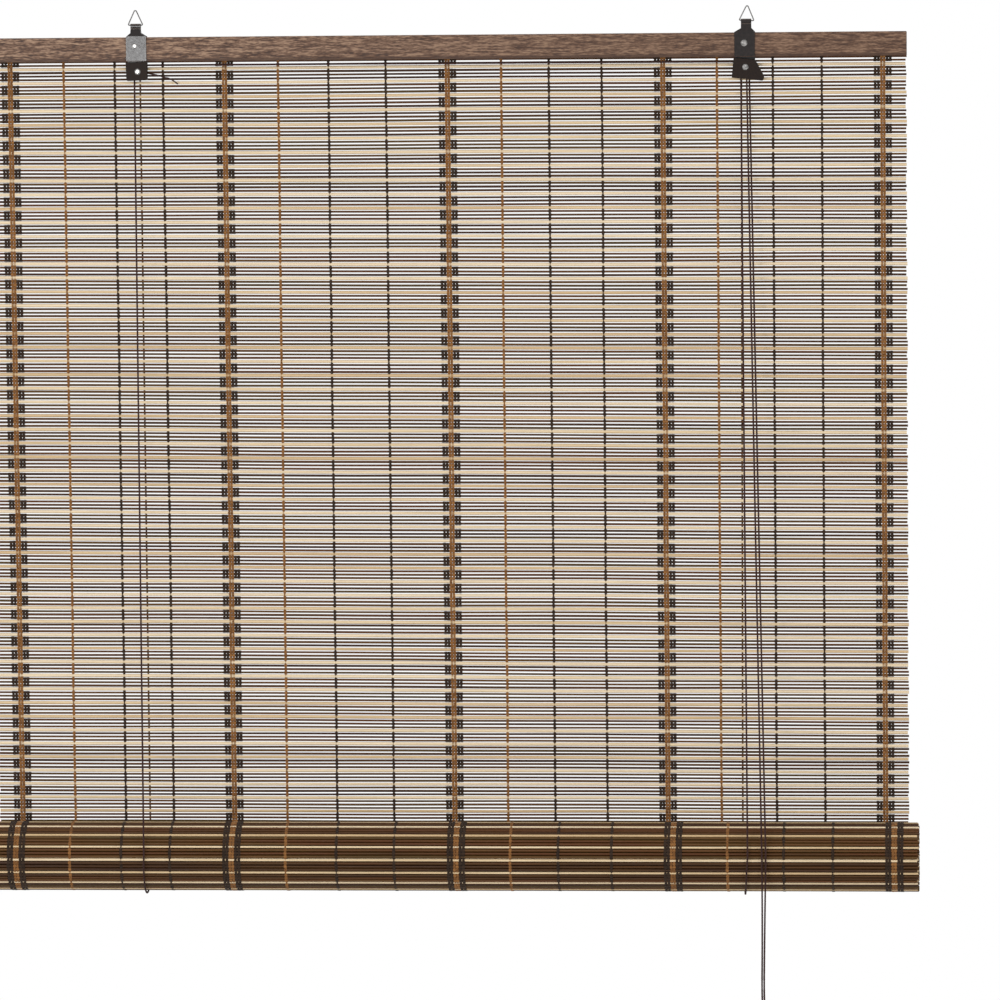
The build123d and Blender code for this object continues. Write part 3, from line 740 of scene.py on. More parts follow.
@dataclass(frozen=True)
class Viewpoint:
    """Camera place and lens, at the photograph's viewing angle."""

    target: tuple[float, float, float] = (0.0606, 0.0, -0.5338)
    distance: float = 6.9
    azimuth: float = 4.4
    elevation: float = 5.5
    roll: float = -0.57
    lens: float = 228.24
    sensor: float = 36.0

    def build(self) -> None:
        """Make the camera and give it to the scene."""
        side, high, tilt = radians(self.azimuth), radians(self.elevation), radians(self.roll)
        back = Vector((sin(side) * cos(high), -cos(side) * cos(high), sin(high)))
        right = Vector((cos(side), sin(side), 0.0))
        up = back.cross(right)
        turned = right * cos(tilt) + up * sin(tilt)
        upright = up * cos(tilt) - right * sin(tilt)
        camera = bpy.data.objects.new("camera", bpy.data.cameras.new("camera"))
        bpy.context.scene.collection.objects.link(camera)
        place = Matrix((turned, upright, back)).transposed().to_4x4()
        place.translation = Vector(self.target) + back * self.distance
        camera.matrix_world = place
        camera.data.lens = self.lens
        camera.data.sensor_width = self.sensor
        camera.data.clip_end = 50.0
        bpy.context.scene.camera = camera


@dataclass(frozen=True)
class Softbox:
    """One soft lamp."""

    name: str
    place: tuple[float, float, float]
    target: tuple[float, float, float]
    width: float
    height: float
    watts: float

    def build(self) -> None:
        """Make the lamp and aim it."""
        lamp = bpy.data.lights.new(self.name, "AREA")
        lamp.shape = "RECTANGLE"
        lamp.size = self.width
        lamp.size_y = self.height
        lamp.energy = self.watts
        holder = bpy.data.objects.new(self.name, lamp)
        bpy.context.scene.collection.objects.link(holder)
        aim = Vector(self.target) - Vector(self.place)
        turn = aim.to_track_quat("-Z", "Y").to_matrix().to_4x4()
        turn.translation = Vector(self.place)
        holder.matrix_world = turn


@dataclass(frozen=True)
class Studio:
    """Pale floor, white surroundings and soft lamps."""

    floor_height: float = -2.70
    floor_radius: float = 1.15
    floor_colour: Rgb = (0.93, 0.93, 0.92)
    sky_colour: Rgb = (0.95, 0.94, 0.92)
    sky_strength: float = 0.60
    lamps: tuple[Softbox, ...] = (
        Softbox("left_card", (-0.78, -3.0, -0.33), (-0.3, 0.0, -0.2), 0.6, 0.56, 18.0),
        Softbox("key", (-1.7, -2.6, 1.3), (0.0, 0.0, -0.5), 1.6, 1.6, 22.0),
        Softbox("fill", (1.9, -2.6, 0.2), (0.0, 0.0, -0.6), 1.6, 1.6, 12.0),
    )

    def build(self) -> None:
        """Make the floor, the world and the lamps."""
        self.make_floor()
        self.make_world()
        for lamp in self.lamps:
            lamp.build()

    def make_floor(self) -> None:
        """Round pale floor that fades into the white surroundings."""
        work = bmesh.new()
        bmesh.ops.create_circle(work, cap_ends=True, segments=96, radius=self.floor_radius)
        bmesh.ops.translate(work, verts=work.verts, vec=(0.0, 0.0, self.floor_height))
        floor = new_piece("floor", [])
        work.to_mesh(floor.data)
        work.free()
        bench = Bench("finish_floor")
        grain = bench.noise(bench.place((6.0, 6.0, 6.0)), 2.0)
        colour = bench.ramp(grain, ((0.2, self.floor_colour), (0.8, (0.95, 0.95, 0.94))))
        bench.dress(colour, 0.7, grain, 0.0001)
        out = bench.nodes["Material Output"]
        glow = bench.node("ShaderNodeEmission", Color=(1.0, 1.0, 1.0, 1.0), Strength=1.0)
        spot = bench.node("ShaderNodeTexCoord").outputs["Object"]
        flat = bench.node("ShaderNodeVectorMath", {"operation": "MULTIPLY"})
        bench.links.new(spot, flat.inputs[0])
        flat.inputs[1].default_value = (1.0, 1.0, 0.0)
        far = bench.node("ShaderNodeVectorMath", {"operation": "LENGTH"})
        bench.links.new(flat.outputs[0], far.inputs[0])
        rim = (0.45 * self.floor_radius, 0.98 * self.floor_radius)
        fade = bench.span(far.outputs["Value"], rim, (0.55, 1.0))
        seen = bench.count("MULTIPLY", fade, bench.node("ShaderNodeLightPath").outputs["Is Camera Ray"])
        blend = bench.node("ShaderNodeMixShader", Fac=seen)
        bench.links.new(bench.shader.outputs[0], blend.inputs[1])
        bench.links.new(glow.outputs[0], blend.inputs[2])
        bench.links.new(blend.outputs[0], out.inputs["Surface"])
        floor.data.materials.append(bench.material)

    def make_world(self) -> None:
        """White where it is seen or mirrored, and softer as a light."""
        world = bpy.data.worlds.new("surroundings")
        world.use_nodes = True
        nodes, links = world.node_tree.nodes, world.node_tree.links
        soft = nodes["Background"]
        soft.inputs["Color"].default_value = linear(self.sky_colour)
        soft.inputs["Strength"].default_value = self.sky_strength
        white = nodes.new("ShaderNodeBackground")
        white.inputs["Color"].default_value = (1.0, 1.0, 1.0, 1.0)
        rays = nodes.new("ShaderNodeLightPath")
        seen = rays.outputs["Is Camera Ray"]
        for name in ("Is Glossy Ray", "Is Transmission Ray"):
            either = nodes.new("ShaderNodeMath")
            either.operation = "MAXIMUM"
            links.new(seen, either.inputs[0])
            links.new(rays.outputs[name], either.inputs[1])
            seen = either.outputs[0]
        blend = nodes.new("ShaderNodeMixShader")
        links.new(seen, blend.inputs[0])
        links.new(soft.outputs[0], blend.inputs[1])
        links.new(white.outputs[0], blend.inputs[2])
        links.new(blend.outputs[0], nodes["World Output"].inputs["Surface"])
        bpy.context.scene.world = world
        bpy.context.scene.view_settings.view_transform = "Standard"


def read_route(points: Sequence[Sequence[float]], step: float) -> list[Vector]:
    """Points on the smooth line of a cord.

    Args:
        points: Control points of its route, in metres.
        step: Least distance between two points that are kept.

    Returns:
        Points read from the line, from its first end to its last.
    """
    curve = bpy.data.curves.new("route", "CURVE")
    curve.dimensions = "3D"
    spline = curve.splines.new("NURBS")
    spline.points.add(len(points) - 1)
    for target, spot in zip(spline.points, points):
        target.co = (*spot, 1.0)
    spline.order_u = min(3, len(points))
    spline.use_endpoint_u = True
    longest = max((Vector(b) - Vector(a)).length for a, b in zip(points, points[1:]))
    spline.resolution_u = max(12, min(1000, ceil(2.5 * longest / step)))
    holder = bpy.data.objects.new("route", curve)
    bpy.context.scene.collection.objects.link(holder)
    graph = bpy.context.evaluated_depsgraph_get()
    line = bpy.data.meshes.new_from_object(holder.evaluated_get(graph), depsgraph=graph)
    read = [vertex.co.copy() for vertex in line.vertices]
    bpy.data.objects.remove(holder)
    bpy.data.curves.remove(curve)
    bpy.data.meshes.remove(line)
    kept = [read[0]]
    for spot in read[1:-1]:
        if (spot - kept[-1]).length >= step and (spot - read[-1]).length >= step / 2:
            kept.append(spot)
    return [*kept, read[-1]]


@dataclass
class TwistedCord:
    """Cord of three twisted strands along a route."""

    name: str
    route: Sequence[Sequence[float]]
    diameter: float = 2.0 * MM
    lobes: int = 3
    around: int = 9
    lay: float = 7.5 * MM
    step: float = 1.25 * MM
    groove: float = 0.12
    crown: float = 1.075
    line: list[Vector] = field(default_factory=list)

    def build(self) -> bpy.types.Object:
        """Make the cord's mesh.

        Returns:
            The piece, with a UV map that runs along and around it.
        """
        self.line = read_route(self.route, self.step)
        along = [0.0]
        for here, after in zip(self.line, self.line[1:]):
            along.append(along[-1] + (after - here).length)
        vertices = []
        normal = Vector((0.0, 1.0, 0.0))
        for index, spot in enumerate(self.line):
            before = self.line[max(index - 1, 0)]
            after = self.line[min(index + 1, len(self.line) - 1)]
            forward = (after - before).normalized()
            normal = (normal - forward * normal.dot(forward)).normalized()
            side = forward.cross(normal)
            turn = 2 * pi * along[index] / self.lay
            for corner in range(self.around):
                angle = 2 * pi * corner / self.around
                dip = self.groove * (1 - cos(self.lobes * angle)) / 2
                reach = self.crown * self.diameter / 2 * (1 - dip)
                vertices.append(spot + (normal * cos(angle + turn) + side * sin(angle + turn)) * reach)
        faces = []
        for ring in range(len(self.line) - 1):
            for corner in range(self.around):
                beside = (corner + 1) % self.around
                low, high = ring * self.around, (ring + 1) * self.around
                faces.append((low + corner, low + beside, high + beside, high + corner))
        faces.append(tuple(reversed(range(self.around))))
        faces.append(tuple(len(vertices) - self.around + corner for corner in range(self.around)))
        piece = new_piece(self.name, vertices, (), faces)
        self.unwrap(piece.data, along)
        turn_outwards(piece.data, 75.0)
        return piece

    def unwrap(self, mesh: bpy.types.Mesh, along: Sequence[float]) -> None:
        """UV map: metres along the cord, and share of the way around it."""
        layer = mesh.uv_layers.new(name="UVMap")
        for face in mesh.polygons:
            corners = [mesh.loops[loop].vertex_index % self.around for loop in face.loop_indices]
            closing = self.around - 1 in corners
            for loop in face.loop_indices:
                vertex = mesh.loops[loop].vertex_index
                share = (vertex % self.around) / self.around
                if closing and share == 0.0 and len(face.loop_indices) == 4:
                    share = 1.0
                layer.data[loop].uv = (along[vertex // self.around], share)


@dataclass
class ReedMat:
    """The woven mat where it hangs: reeds, and the threads that bind them."""

    top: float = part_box("mat_hanging")[1][2]
    bottom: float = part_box("mat_hanging")[0][2]
    left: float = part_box("mat_hanging")[0][0]
    right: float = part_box("mat_hanging")[1][0]
    middle: float = (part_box("mat_hanging")[0][1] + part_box("mat_hanging")[1][1]) / 2
    reeds: int = 232
    lead: float = 0.6 * MM
    drawn_out: float = 0.0215
    drawn_out_slope: float = 0.03
    first_natural: int = 1
    group: int = 4
    dark_radius: float = 1.2 * MM
    natural_radius: float = 1.75 * MM
    parts: int = 20
    sway: float = 0.9 * MM
    own_sway: float = 0.28 * MM
    ragged: float = 1.6 * MM
    thread_drift: float = 0.35 * MM
    thread_jitter: float = 0.12
    hem_reeds: int = 12
    variation: float = 0.10
    keep: float = 0.196

    def is_natural(self, reed: int) -> bool:
        """Whether a reed, counted from the top, is a natural one."""
        return reed % self.group == self.first_natural

    def height(self, reed: int, x: float) -> float:
        """Height of a reed's middle at x."""
        drop = (reed + 0.5) / self.reeds
        drop += (self.drawn_out + self.drawn_out_slope * x) * drop * (1 - drop)
        level = self.top - self.lead - drop * (self.top - self.lead - self.bottom)
        hem = min(1.0, reed / self.hem_reeds, (self.reeds - 1 - reed) / self.hem_reeds)
        shared = self.sway * hem * noise.noise(Vector((x * 3.5, reed * 0.05, 3.1)))
        return level + shared + self.own_sway * noise.noise(Vector((x * 8.0, reed * 7.7, 8.2)))

    def build(self, rods: RodRecipe, wraps: WrapRecipe) -> None:
        """Make the hanging reeds and threads.

        Args:
            rods: Node tree of the reeds and of the threads between them.
            wraps: Node tree of the turns of thread.
        """
        dice = random.Random(11)
        dark, natural = RodBatch(), RodBatch()
        for reed in range(self.reeds):
            start = self.left + dice.uniform(0.0, self.ragged)
            end = self.right - dice.uniform(0.0, self.ragged)
            line = []
            for part in range(self.parts + 1):
                x = start + (end - start) * part / self.parts
                y = self.middle + 0.1 * MM * noise.noise(Vector((x * 6, reed, 1)))
                line.append(Vector((x, y, self.height(reed, x))))
            (natural if self.is_natural(reed) else dark).add(line, dice.random())
        for batch, name, radius, finish, node in (
            (dark, "reeds_dark", self.dark_radius, DARK_REED, "mat_hanging"),
            (natural, "reeds_natural", self.natural_radius, NATURAL_REED, "mat_natural_reeds"),
        ):
            piece = batch.build(name, rods, radius, REED_SIDES, self.variation, finish)
            self.hang(piece, finish, node)
        self.weave(rods, wraps, dice)

    def hang(self, piece: bpy.types.Object, finish: Finish, *nodes: str) -> None:
        """Fasten a piece of the mat under the rail, to the head's body, and give it a mesh of its own."""
        settle(piece, finish, Body.HEAD, nodes)
        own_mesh(piece)

    def weave(self, rods: RodRecipe, wraps: WrapRecipe, dice: random.Random) -> None:
        """Make the warp threads of the hanging mat."""
        banded, single, links = by_thread(WrapBatch), by_thread(WrapBatch), by_thread(RodBatch)
        for column in WARP_COLUMNS:
            batch = (banded if column.banded else single)[column.finish]
            for reed in range(self.reeds):
                drift = noise.noise(Vector((column.place * 31, reed * 0.03, 5.0)))
                x = column.place + self.thread_drift * drift
                x += dice.uniform(-self.thread_jitter, self.thread_jitter) * MM
                spot = Vector((x, self.middle, self.height(reed, x)))
                natural = self.is_natural(reed)
                column.wrap(batch, spot, natural, self.dark_radius, self.natural_radius, dice)
                if reed + 1 < self.reeds:
                    below = Vector((x, self.middle, self.height(reed + 1, x)))
                    beside_natural = natural or self.is_natural(reed + 1)
                    hidden = column.kind is Warp.DARK_BAND and beside_natural
                    column.link(links[column.finish], spot, below, reed, hidden)
        for finish, word in THREADS:
            bands = banded[finish].build("band_turns_" + word, wraps, finish)
            self.hang(bands, finish, "mat_warps_" + word)
            self.hang(single[finish].build("single_turns_" + word, wraps, finish), finish)
            self.hang(links[finish].build_links("warp_links_" + word, rods, finish), finish)


@dataclass(frozen=True)
class WarpColumn:
    """One column of warp thread."""

    place: float
    kind: Warp

    @property
    def finish(self) -> SpunThread:
        """Thread of this column."""
        return ORANGE_THREAD if self.kind in (Warp.ORANGE_BAND, Warp.ORANGE_SINGLE) else DARK_THREAD

    @property
    def banded(self) -> bool:
        """Whether the column is one of a band."""
        return self.kind in (Warp.DARK_BAND, Warp.ORANGE_BAND)

    def wrap(self, batch: WrapBatch, spot: Vector, natural: bool, dark_radius: float,
             natural_radius: float, dice: random.Random, outwards: Vector | None = None) -> None:
        """Turn the thread round one reed, as far as the weave lets it show.

        Args:
            batch: Where the turn goes.
            spot: Middle of the reed there.
            natural: Whether the reed is a natural one.
            dark_radius: Radius of a dark reed.
            natural_radius: Radius of a natural reed.
            dice: Source of the small differences.
            outwards: Direction of the mat's front, or None where it faces -Y.
        """
        front = outwards or Vector((0.0, -1.0, 0.0))
        tone = dice.random()
        uneven = dice.uniform(0.93, 1.07)
        if self.kind is Warp.DARK_BAND and natural:
            batch.add(spot - front * 0.6 * MM, 2.9 * MM, natural_radius * uneven, tone)
        elif self.banded and natural:
            batch.add(spot + front * 0.2 * MM, 2.6 * MM, (natural_radius + 0.1 * MM) * uneven, tone)
        elif self.banded:
            width = 3.4 * MM if self.kind is Warp.DARK_BAND else 3.0 * MM
            batch.add(spot, width, (dark_radius + 0.4 * MM) * uneven, tone)
        elif natural:
            batch.add(spot, 1.7 * MM, (natural_radius + 0.15 * MM) * uneven, tone)
        else:
            batch.add(spot, 3.2 * MM, (dark_radius + 0.38 * MM) * uneven, tone)

    def link(self, batch: RodBatch, above: Vector, below: Vector, reed: int, hidden: bool) -> None:
        """Cross from one side of a reed to the other side of the next.

        Args:
            batch: Where the crossing goes.
            above: Middle of the upper reed there.
            below: Middle of the lower reed there.
            reed: Number of the upper reed.
            hidden: Whether the thread stays behind both reeds.
        """
        way = 1 if reed % 2 else -1
        side = 0.4 * MM * way
        lean = (0.35 if self.banded else 0.22) * MM * way
        start = above + Vector((lean, side, -0.55 * MM))
        end = below + Vector((-lean, -side, 0.55 * MM))
        if hidden:
            behind, half = above + Vector((0.0, 1.1 * MM, 0.0)), Vector((0, 0, 0.9 * MM))
            start, end = behind + half, behind - half
        batch.add([start, end], 0.5)


def warp_columns() -> Iterator[WarpColumn]:
    """All columns of warp thread, from left to right within each band and gap."""
    bands = (-470.0, -235.5, 7.4, 241.0, 478.2)
    singles = (
        (58.5, 114.5, 167.5), (58.5, 113.5, 176.0), (58.5, 110.2, 167.5), (58.5, 118.8, 171.5), (),
    )
    for band, steps in zip(bands, singles):
        for offset, kind in (
            (-8.15, Warp.DARK_BAND), (-4.75, Warp.DARK_BAND), (-1.5, Warp.ORANGE_BAND),
            (1.5, Warp.ORANGE_BAND), (4.75, Warp.DARK_BAND), (8.15, Warp.DARK_BAND),
        ):
            yield WarpColumn((band + offset) * MM, kind)
        for step, kind in zip(steps, (Warp.ORANGE_SINGLE, Warp.DARK_SINGLE, Warp.DARK_SINGLE)):
            yield WarpColumn((band + step) * MM, kind)


WARP_COLUMNS = tuple(warp_columns())


@dataclass
class Roll:
    """The rolled part of the mat, its back outwards, around the bottom rail."""

    left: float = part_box("mat_roll")[0][0]
    right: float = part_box("mat_roll")[1][0]
    middle: float = -30.6 * MM
    height: float = -919.9 * MM
    ridge_radius: float = 39.6 * MM
    pitch: float = 3.7 * MM
    reed_angle: float = 5.65
    first_angle: float = 2.2
    turns: float = 5.4
    stretch: float = 1.008
    shift: float = 6.3 * MM
    overhang: float = 7.0 * MM
    dark_radius: float = 1.4 * MM
    natural_radius: float = 1.3 * MM
    group: int = 4
    first_natural: int = 3
    parts: int = 14
    ragged: float = 2.4
    settled: float = 0.15 * MM
    sway: float = 0.22 * MM
    variation: float = 0.09
    thread_jitter: float = 0.2
    past_outer: int = 6

    def spot(self, x: float, ridge: int, lift: float) -> Vector:
        """Middle of a reed of the roll, counted along the spiral."""
        angle = self.first_angle + (ridge + 0.5) * self.reed_angle
        reach = self.ridge_radius - self.dark_radius - self.pitch * angle / 360 + lift
        side, down = cos(radians(angle)), sin(radians(angle))
        return Vector((x, self.middle + reach * side, self.height - reach * down))

    def is_natural(self, ridge: int) -> bool:
        """Whether a reed of the roll is a natural one."""
        return ridge % self.group == self.first_natural

    def build(self, rods: RodRecipe, wraps: WrapRecipe) -> None:
        """Make the roll's reeds and threads.

        Args:
            rods: Node tree of the reeds and of the threads between them.
            wraps: Node tree of the turns of thread.
        """
        dice = random.Random(23)
        dark, natural = RodBatch(), RodBatch()
        outer = ceil(360 / self.reed_angle)
        for ridge in range(int(self.turns * 360 / self.reed_angle)):
            start = self.left + dice.uniform(0.0, self.ragged) * MM
            end = self.right + self.overhang - dice.uniform(0.0, self.ragged) * MM
            parts = self.parts if ridge < 2 * outer else 1
            line = []
            for part in range(parts + 1):
                x = start + (end - start) * part / parts
                sway = self.sway * noise.noise(Vector((x * 7, ridge * 3.3, 2.0)))
                line.append(self.spot(x, ridge, sway - self.settled))
            (natural if self.is_natural(ridge) else dark).add(line, dice.random())
        for batch, name, radius, finish, node in (
            (dark, "roll_reeds_dark", self.dark_radius, DARK_REED, "mat_roll"),
            (natural, "roll_reeds_natural", self.natural_radius, NATURAL_REED, "roll_natural_reeds"),
        ):
            piece = batch.build(name, rods, radius, REED_SIDES, self.variation, finish)
            settle(piece, finish, Body.ROLL, (node,))
        self.weave(rods, wraps, dice, outer)

    def weave(self, rods: RodRecipe, wraps: WrapRecipe, dice: random.Random, outer: int) -> None:
        """Make the warp threads that show on the outer turn."""
        turns, links = by_thread(WrapBatch), by_thread(RodBatch)
        for column in WARP_COLUMNS:
            for ridge in range(outer + self.past_outer):
                jitter = dice.uniform(-self.thread_jitter, self.thread_jitter) * MM
                x = column.place * self.stretch + self.shift + jitter
                spot = self.spot(x, ridge, -self.settled)
                inwards = (Vector((x, self.middle, self.height)) - spot).normalized()
                column.wrap(turns[column.finish], spot, self.is_natural(ridge), self.dark_radius,
                            self.natural_radius, dice, inwards)
                after = self.spot(x, ridge + 1, -self.settled)
                side = inwards * 0.4 * MM * (1 if ridge % 2 else -1)
                links[column.finish].add([spot + side, after - side], 0.5)
        for finish, word in THREADS:
            piece = turns[finish].build("roll_warp_turns_" + word, wraps, finish)
            settle(piece, finish, Body.ROLL, ("roll_warps_" + word,))
            crossings = links[finish].build_links("roll_warp_links_" + word, rods, finish)
            settle(crossings, finish, Body.ROLL, ())


@dataclass(frozen=True)
class Turn:
    """Round turn of a tight cord in an upright plane."""

    centre: tuple[float, float]
    radius: float
    start: float
    end: float
    steps: int

    def corners(self) -> list[tuple[float, float]]:
        """Control points, from start to end, whose line keeps to the radius."""
        step = (self.end - self.start) / self.steps
        reach = self.radius / cos(radians(step / 2))
        angles = [(self.start, self.radius)]
        angles += [(self.start + (part + 0.5) * step, reach) for part in range(self.steps)]
        angles.append((self.end, self.radius))
        return [
            (self.centre[0] + far * cos(radians(angle)), self.centre[1] + far * sin(radians(angle)))
            for angle, far in angles
        ]


@dataclass
class Hank:
    """How a pull cord is wound: long laps, held at the waist."""

    middle: tuple[float, float, float] = (345.6 * MM, -70.76 * MM, -1129.0 * MM)
    laps: int = 7
    waist_height: float = 6.0 * MM
    bulge_height: float = 20.0 * MM
    end_height: float = 31.6 * MM
    waist_side: float = 2.3 * MM
    bulge_side: float = 8.0 * MM
    end_side: float = 4.6 * MM
    beside: float = 2.05 * MM
    waist_row: float = 1.66 * MM
    bulge_row: float = 2.5 * MM
    end_row: float = 2.05 * MM

    def lap(self, number: int) -> list[Vector]:
        """Control points of one lap: down its right side and up its left one."""
        row = number // 2 - (self.laps - 1) / 2
        column = number % 2
        outer = self.beside * column
        shift = MM * (row % 2)
        waist = (self.waist_side + outer + shift, row * self.waist_row)
        bulge = (self.bulge_side + outer, row * self.bulge_row)
        end = (self.end_side + outer / 2, row * self.end_row)
        high = self.end_height - self.beside * (1 - column)
        right = [
            (end[0], end[1], high), (bulge[0], bulge[1], self.bulge_height),
            (waist[0], waist[1], self.waist_height), (waist[0], waist[1], -self.waist_height),
            (bulge[0], bulge[1], -self.bulge_height), (end[0], end[1], -high),
        ]
        left = [(-x, y, z) for x, y, z in reversed(right)]
        return [Vector(self.middle) + Vector(spot) for spot in (*right, *left)]

    def route(self, first: int) -> list[Vector]:
        """Control points of one cord's laps.

        Args:
            first: Number of its first lap, of all laps in the hank.

        Returns:
            The points, from where it comes in at the top to where it leaves below.
        """
        points = []
        for number in range(first, first + self.laps):
            points += self.lap(number)
        half_lap = len(self.lap(0)) // 2
        return points[1:-half_lap]


@dataclass
class Cords:
    """Lift cords, pull cords, hank, tie, knots and the loose end."""

    diameter: float = 2.0 * MM
    tail_diameter: float = 1.6 * MM
    row: float = 0.00185
    roll_touch: tuple[float, float] = (-0.07166, -0.9165)
    groove_height: float = -0.0664
    lift_top: float = -0.0665
    front_keep: float = 0.172
    back_keep: float = 0.207
    hank: Hank = field(default_factory=Hank)
    tassel_top: float = -1.174

    def build(self) -> None:
        """Make every cord."""
        self.make_lift_cords()
        self.make_head_cords()
        pieces = self.make_hank_pieces()
        self.make_pull_cords()
        self.make_loose_end()

    def make_lift_cords(self) -> None:
        """Front run, loop under the roll and back run of each lift cord."""
        runs = (
            ("left", (-0.3330, 0.0), (-0.3263, *self.roll_touch), -0.328, -0.3295),
            ("right", (0.3256, self.row), (0.3303, *self.roll_touch), 0.326, 0.3222),
        )
        for word, start, touch, ear_x, back_x in runs:
            name = "lift_cord_" + word
            front = TwistedCord(name + "_front_run", [(*start, self.lift_top), touch]).build()
            settle(front, BROWN_CORD, Body.HEAD, (name + "_front",))
            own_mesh(front)
            turn = Turn((-0.0306, -0.9199), 0.0412, 175.2, 360.0, 9).corners()
            count = len(turn) - 1
            loop = [
                (touch[0] + (back_x - touch[0]) * part / count, y, z)
                for part, (y, z) in enumerate(turn)
            ]
            sling = TwistedCord(name + "_loop_run", loop).build()
            settle(sling, BROWN_CORD, Body.SLING, (name + "_loop",))
            back_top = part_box(name + "_back")[1][2]
            back = TwistedCord(
                name + "_back_run", [(ear_x, 0.0097, back_top), (back_x, 0.0106, -0.9196)]
            ).build()
            settle(back, BROWN_CORD, Body.HEAD, (name + "_back",))
            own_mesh(back)
            knot = self.make_knot("lift_knot_" + word, Vector((ear_x, 0.0097, -0.0308)), 0.72 * MM)
            settle(knot, BROWN_CORD, Body.HEAD, ("cord_knot_" + word,))

    def make_knot(self, name: str, middle: Vector, size: float) -> bpy.types.Object:
        """Overhand knot, drawn tight."""
        turns = 48
        line = []
        for step in range(turns):
            angle = 2 * pi * step / turns
            line.append(middle + size * Vector((
                sin(angle) + 2 * sin(2 * angle), cos(angle) - 2 * cos(2 * angle), -1.3 * sin(3 * angle),
            )))
        return closed_tube(name, line, 0.72 * self.diameter / 2, 8)

    def make_head_cords(self) -> None:
        """Cord across the head, and half turn over the lock's pulley."""
        cross = TwistedCord("cross_cord_run", [
            (-0.3337, 0.0, self.groove_height), (-0.3337, 0.0, -0.0603), (-0.3250, 0.0, -0.0588),
            (-0.3080, 0.0, -0.0585), (0.3100, -self.row, -0.0596), (0.3250, -self.row, -0.0600),
            (0.3330, -self.row, -0.0603), (0.3318, -self.row, self.groove_height),
        ]).build()
        settle(cross, BROWN_CORD, Body.HEAD, ("cross_cord",))
        half_turn = Turn((0.3307, -0.0654), 0.0048, 180.0, 0.0, 6).corners()
        route = [(0.3256, self.groove_height), *half_turn, (0.3347, self.groove_height)]
        over = TwistedCord("lock_turn_run", [(x, self.row, z) for x, z in route]).build()
        settle(over, BROWN_CORD, Body.HEAD, ("lock_turn_cord",))

    def make_pull_cords(self) -> None:
        """Upper and lower run of both pull cords, with the laps that hang below."""
        uppers = (
            ("left", (0.3318, -self.row), (0.3457, *self.roll_touch)),
            ("right", (0.3345, self.row), (0.3499, *self.roll_touch)),
        )
        for word, start, touch in uppers:
            cord = TwistedCord(f"pull_cord_{word}_upper_run", [(*start, self.lift_top), touch])
            piece = cord.build()
            settle(piece, BROWN_CORD, Body.HEAD, (f"pull_cord_{word}_upper",))
            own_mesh(piece)
        front = self.roll_touch[0]
        lowers = (
            ("left", 0,
             [(0.3457, *self.roll_touch), (0.3460, front, -0.990), (0.34445, -0.07077, -1.094)]),
            ("right", self.hank.laps,
             [(0.3499, *self.roll_touch), (0.3484, front, -0.990), (0.34675, -0.07075, -1.094)]),
        )
        for word, first, route in lowers:
            end_x = route[-1][0]
            tail = [(end_x, -0.07076, -1.1655), (end_x, -0.07076, self.tassel_top)]
            cord = TwistedCord(f"pull_cord_{word}_lower_run", [*route, *self.hank.route(first), *tail])
            piece = cord.build()
            nodes = [f"pull_cord_{word}_lower", f"pull_tail_{word}"]
            if word == "left":
                nodes.append("cord_hank")
            settle(piece, BROWN_CORD, None, nodes)
            length = sum((b - a).length for a, b in zip(cord.line, cord.line[1:]))
            log.info("%s: %.3f m long", piece.name, length)
            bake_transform(piece)

    def make_hank_pieces(self) -> list[bpy.types.Object]:
        """Tie round the hank's waist and the tassel below.

        Returns:
            The tie and the tassel.
        """
        middle = Vector(self.hank.middle)
        turns, per_turn = 3.5, 16
        line = []
        for step in range(int(turns * per_turn) + 1):
            angle = 2 * pi * step / per_turn
            rise = (step / (turns * per_turn) - 0.5) * 6.4 * MM
            line.append(middle + Vector((7.4 * MM * cos(angle), 6.9 * MM * sin(angle), rise)))
        tie = TwistedCord("hank_tie_turns", line).build()
        settle(tie, BROWN_CORD, Body.PULL_END, ("hank_tie",))
        tassel = self.make_tassel()
        settle(tassel, TASSEL_WOOD, Body.PULL_END, ("tassel",))
        return [tie, tassel]

    def make_tassel(self) -> bpy.types.Object:
        """Turned wooden bell with a bead at its neck."""
        profile = (
            (1.2, 0.0), (2.9, 0.0), (3.6, -0.5), (3.9, -1.5), (3.6, -2.5), (3.0, -3.1), (3.4, -3.9),
            (4.5, -5.4), (5.5, -8.4), (6.3, -12.5), (6.85, -17.0), (7.0, -20.0), (6.8, -23.5),
            (6.3, -27.5), (5.75, -31.0), (5.5, -33.2), (5.1, -34.0), (3.2, -34.0), (2.6, -32.4),
        )
        around = 40
        x, y, _ = self.hank.middle
        angles = [2 * pi * k / around for k in range(around)]
        vertices = [
            (x + r * MM * cos(angle), y + r * MM * sin(angle), self.tassel_top + z * MM)
            for r, z in profile for angle in angles
        ]
        faces = [
            (row * around + k, row * around + (k + 1) % around,
             (row + 1) * around + (k + 1) % around, (row + 1) * around + k)
            for row in range(len(profile) - 1) for k in range(around)
        ]
        faces.append(tuple(range(around)))
        faces.append(tuple(len(vertices) - around + k for k in range(around)))
        tassel = new_piece("tassel_bell", vertices, (), faces)
        turn_outwards(tassel.data, 40.0)
        return tassel

    def make_loose_end(self) -> None:
        """Short loose end of cord beside the left cover."""
        route = [
            (-0.3206, 0.0025, -0.0672), (-0.3062, -0.0006, -0.0693), (-0.3004, -0.0009, -0.0722),
            (-0.2954, -0.0009, -0.0725), (-0.2905, -0.0007, -0.0755), (-0.2855, -0.0005, -0.0792),
        ]
        cord = TwistedCord("loose_end_run", route, diameter=self.tail_diameter)
        piece = cord.build()
        settle(piece, BROWN_CORD, Body.HEAD, ("cord_tail_left",))


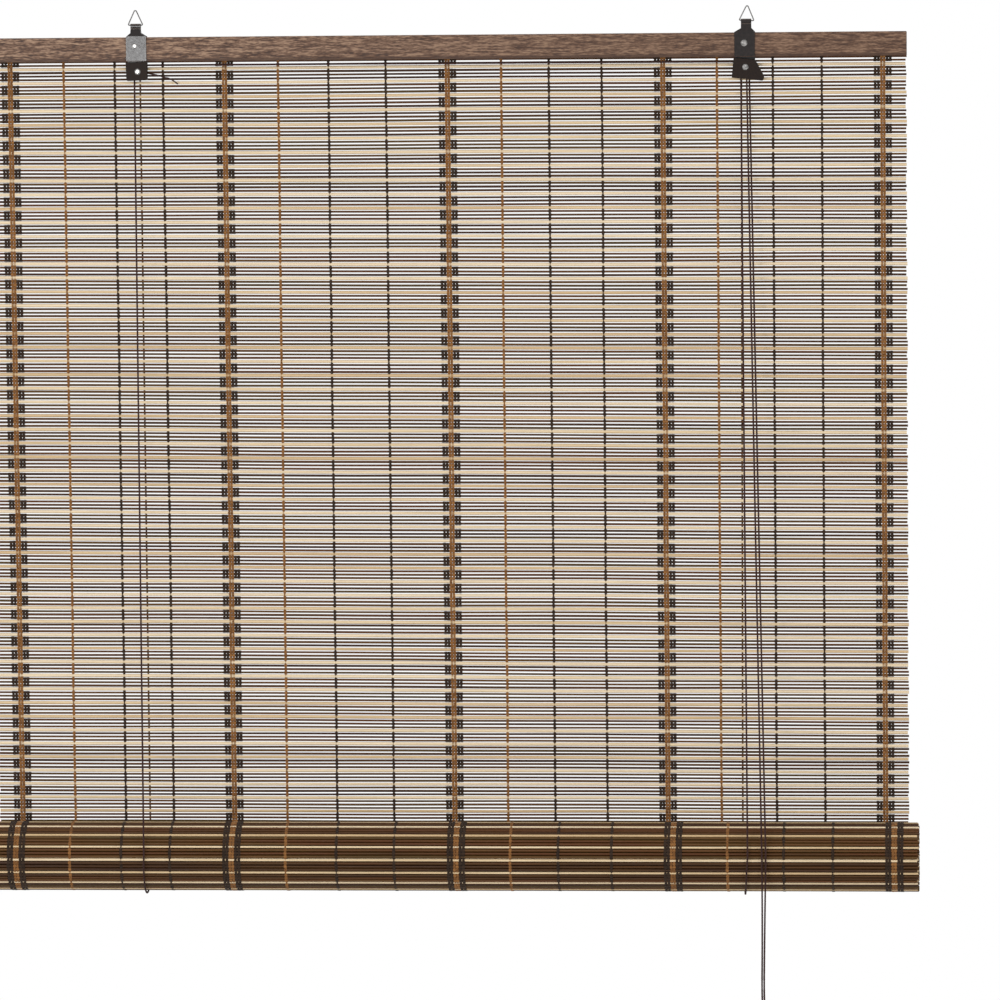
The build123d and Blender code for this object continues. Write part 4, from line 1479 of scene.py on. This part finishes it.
def closed_tube(name: str, line: Sequence[Vector], radius: float, around: int) -> bpy.types.Object:
    """Round tube along a closed line.

    Args:
        name: Name of the piece.
        line: Points of the line, the first one not repeated.
        radius: Radius of the tube.
        around: Faces around it.

    Returns:
        The piece, with a UV map like a cord's.
    """
    count = len(line)
    vertices = []
    for index, spot in enumerate(line):
        forward = (line[(index + 1) % count] - line[index - 1]).normalized()
        side = forward.cross(Vector((0.0, 0.0, 1.0))).normalized()
        up = side.cross(forward)
        for corner in range(around):
            angle = 2 * pi * corner / around
            vertices.append(spot + (side * cos(angle) + up * sin(angle)) * radius)
    faces = []
    for ring in range(count):
        for corner in range(around):
            low, high = ring * around, (ring + 1) % count * around
            beside = (corner + 1) % around
            faces.append((low + corner, low + beside, high + beside, high + corner))
    piece = new_piece(name, vertices, (), faces)
    layer = piece.data.uv_layers.new(name="UVMap")
    for loop in piece.data.loops:
        layer.data[loop.index].uv = (loop.vertex_index // around * MM, loop.vertex_index % around / around)
    turn_outwards(piece.data, 80.0)
    return piece


@dataclass(frozen=True)
class Ironwork:
    """Pieces that keep the frame's own shape and get their finish here."""

    finishes: tuple[tuple[Finish, tuple[str, ...]], ...] = (
        (RAIL_WOOD, ("head_rail", "bottom_rail")),
        (DARK_METAL, ("bracket_left", "bracket_right")),
        (DULL_METAL, ("pulley_cover_left", "lock_cover")),
        (RING_WIRE, ("ring_left", "ring_right")),
        (RIVET_STEEL, ("rail_rivet_left", "rail_rivet_right", "axle_rivet_left", "axle_rivet_right")),
        (BRIGHT_STEEL, ("mat_staples", "lock_roller")),
        (PULLEY_PLASTIC, ("pulley_left", "lock_pulley")),
    )

    def build(self) -> None:
        """Dress each of these pieces."""
        for finish, names in self.finishes:
            for name in names:
                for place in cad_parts[name].material_slots:
                    place.material = finish.material()
                log.info("%s: %s", name, finish.name)


def main() -> None:
    """Build the blind and its studio."""
    logging.basicConfig(level=logging.INFO, format="%(message)s")
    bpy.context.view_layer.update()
    Viewpoint().build()
    Cords().build()
    rods, wraps = RodRecipe(), WrapRecipe()
    ReedMat().build(rods, wraps)
    Roll().build(rods, wraps)
    Ironwork().build()
    Studio().build()


if __name__ == "__main__":
    main()
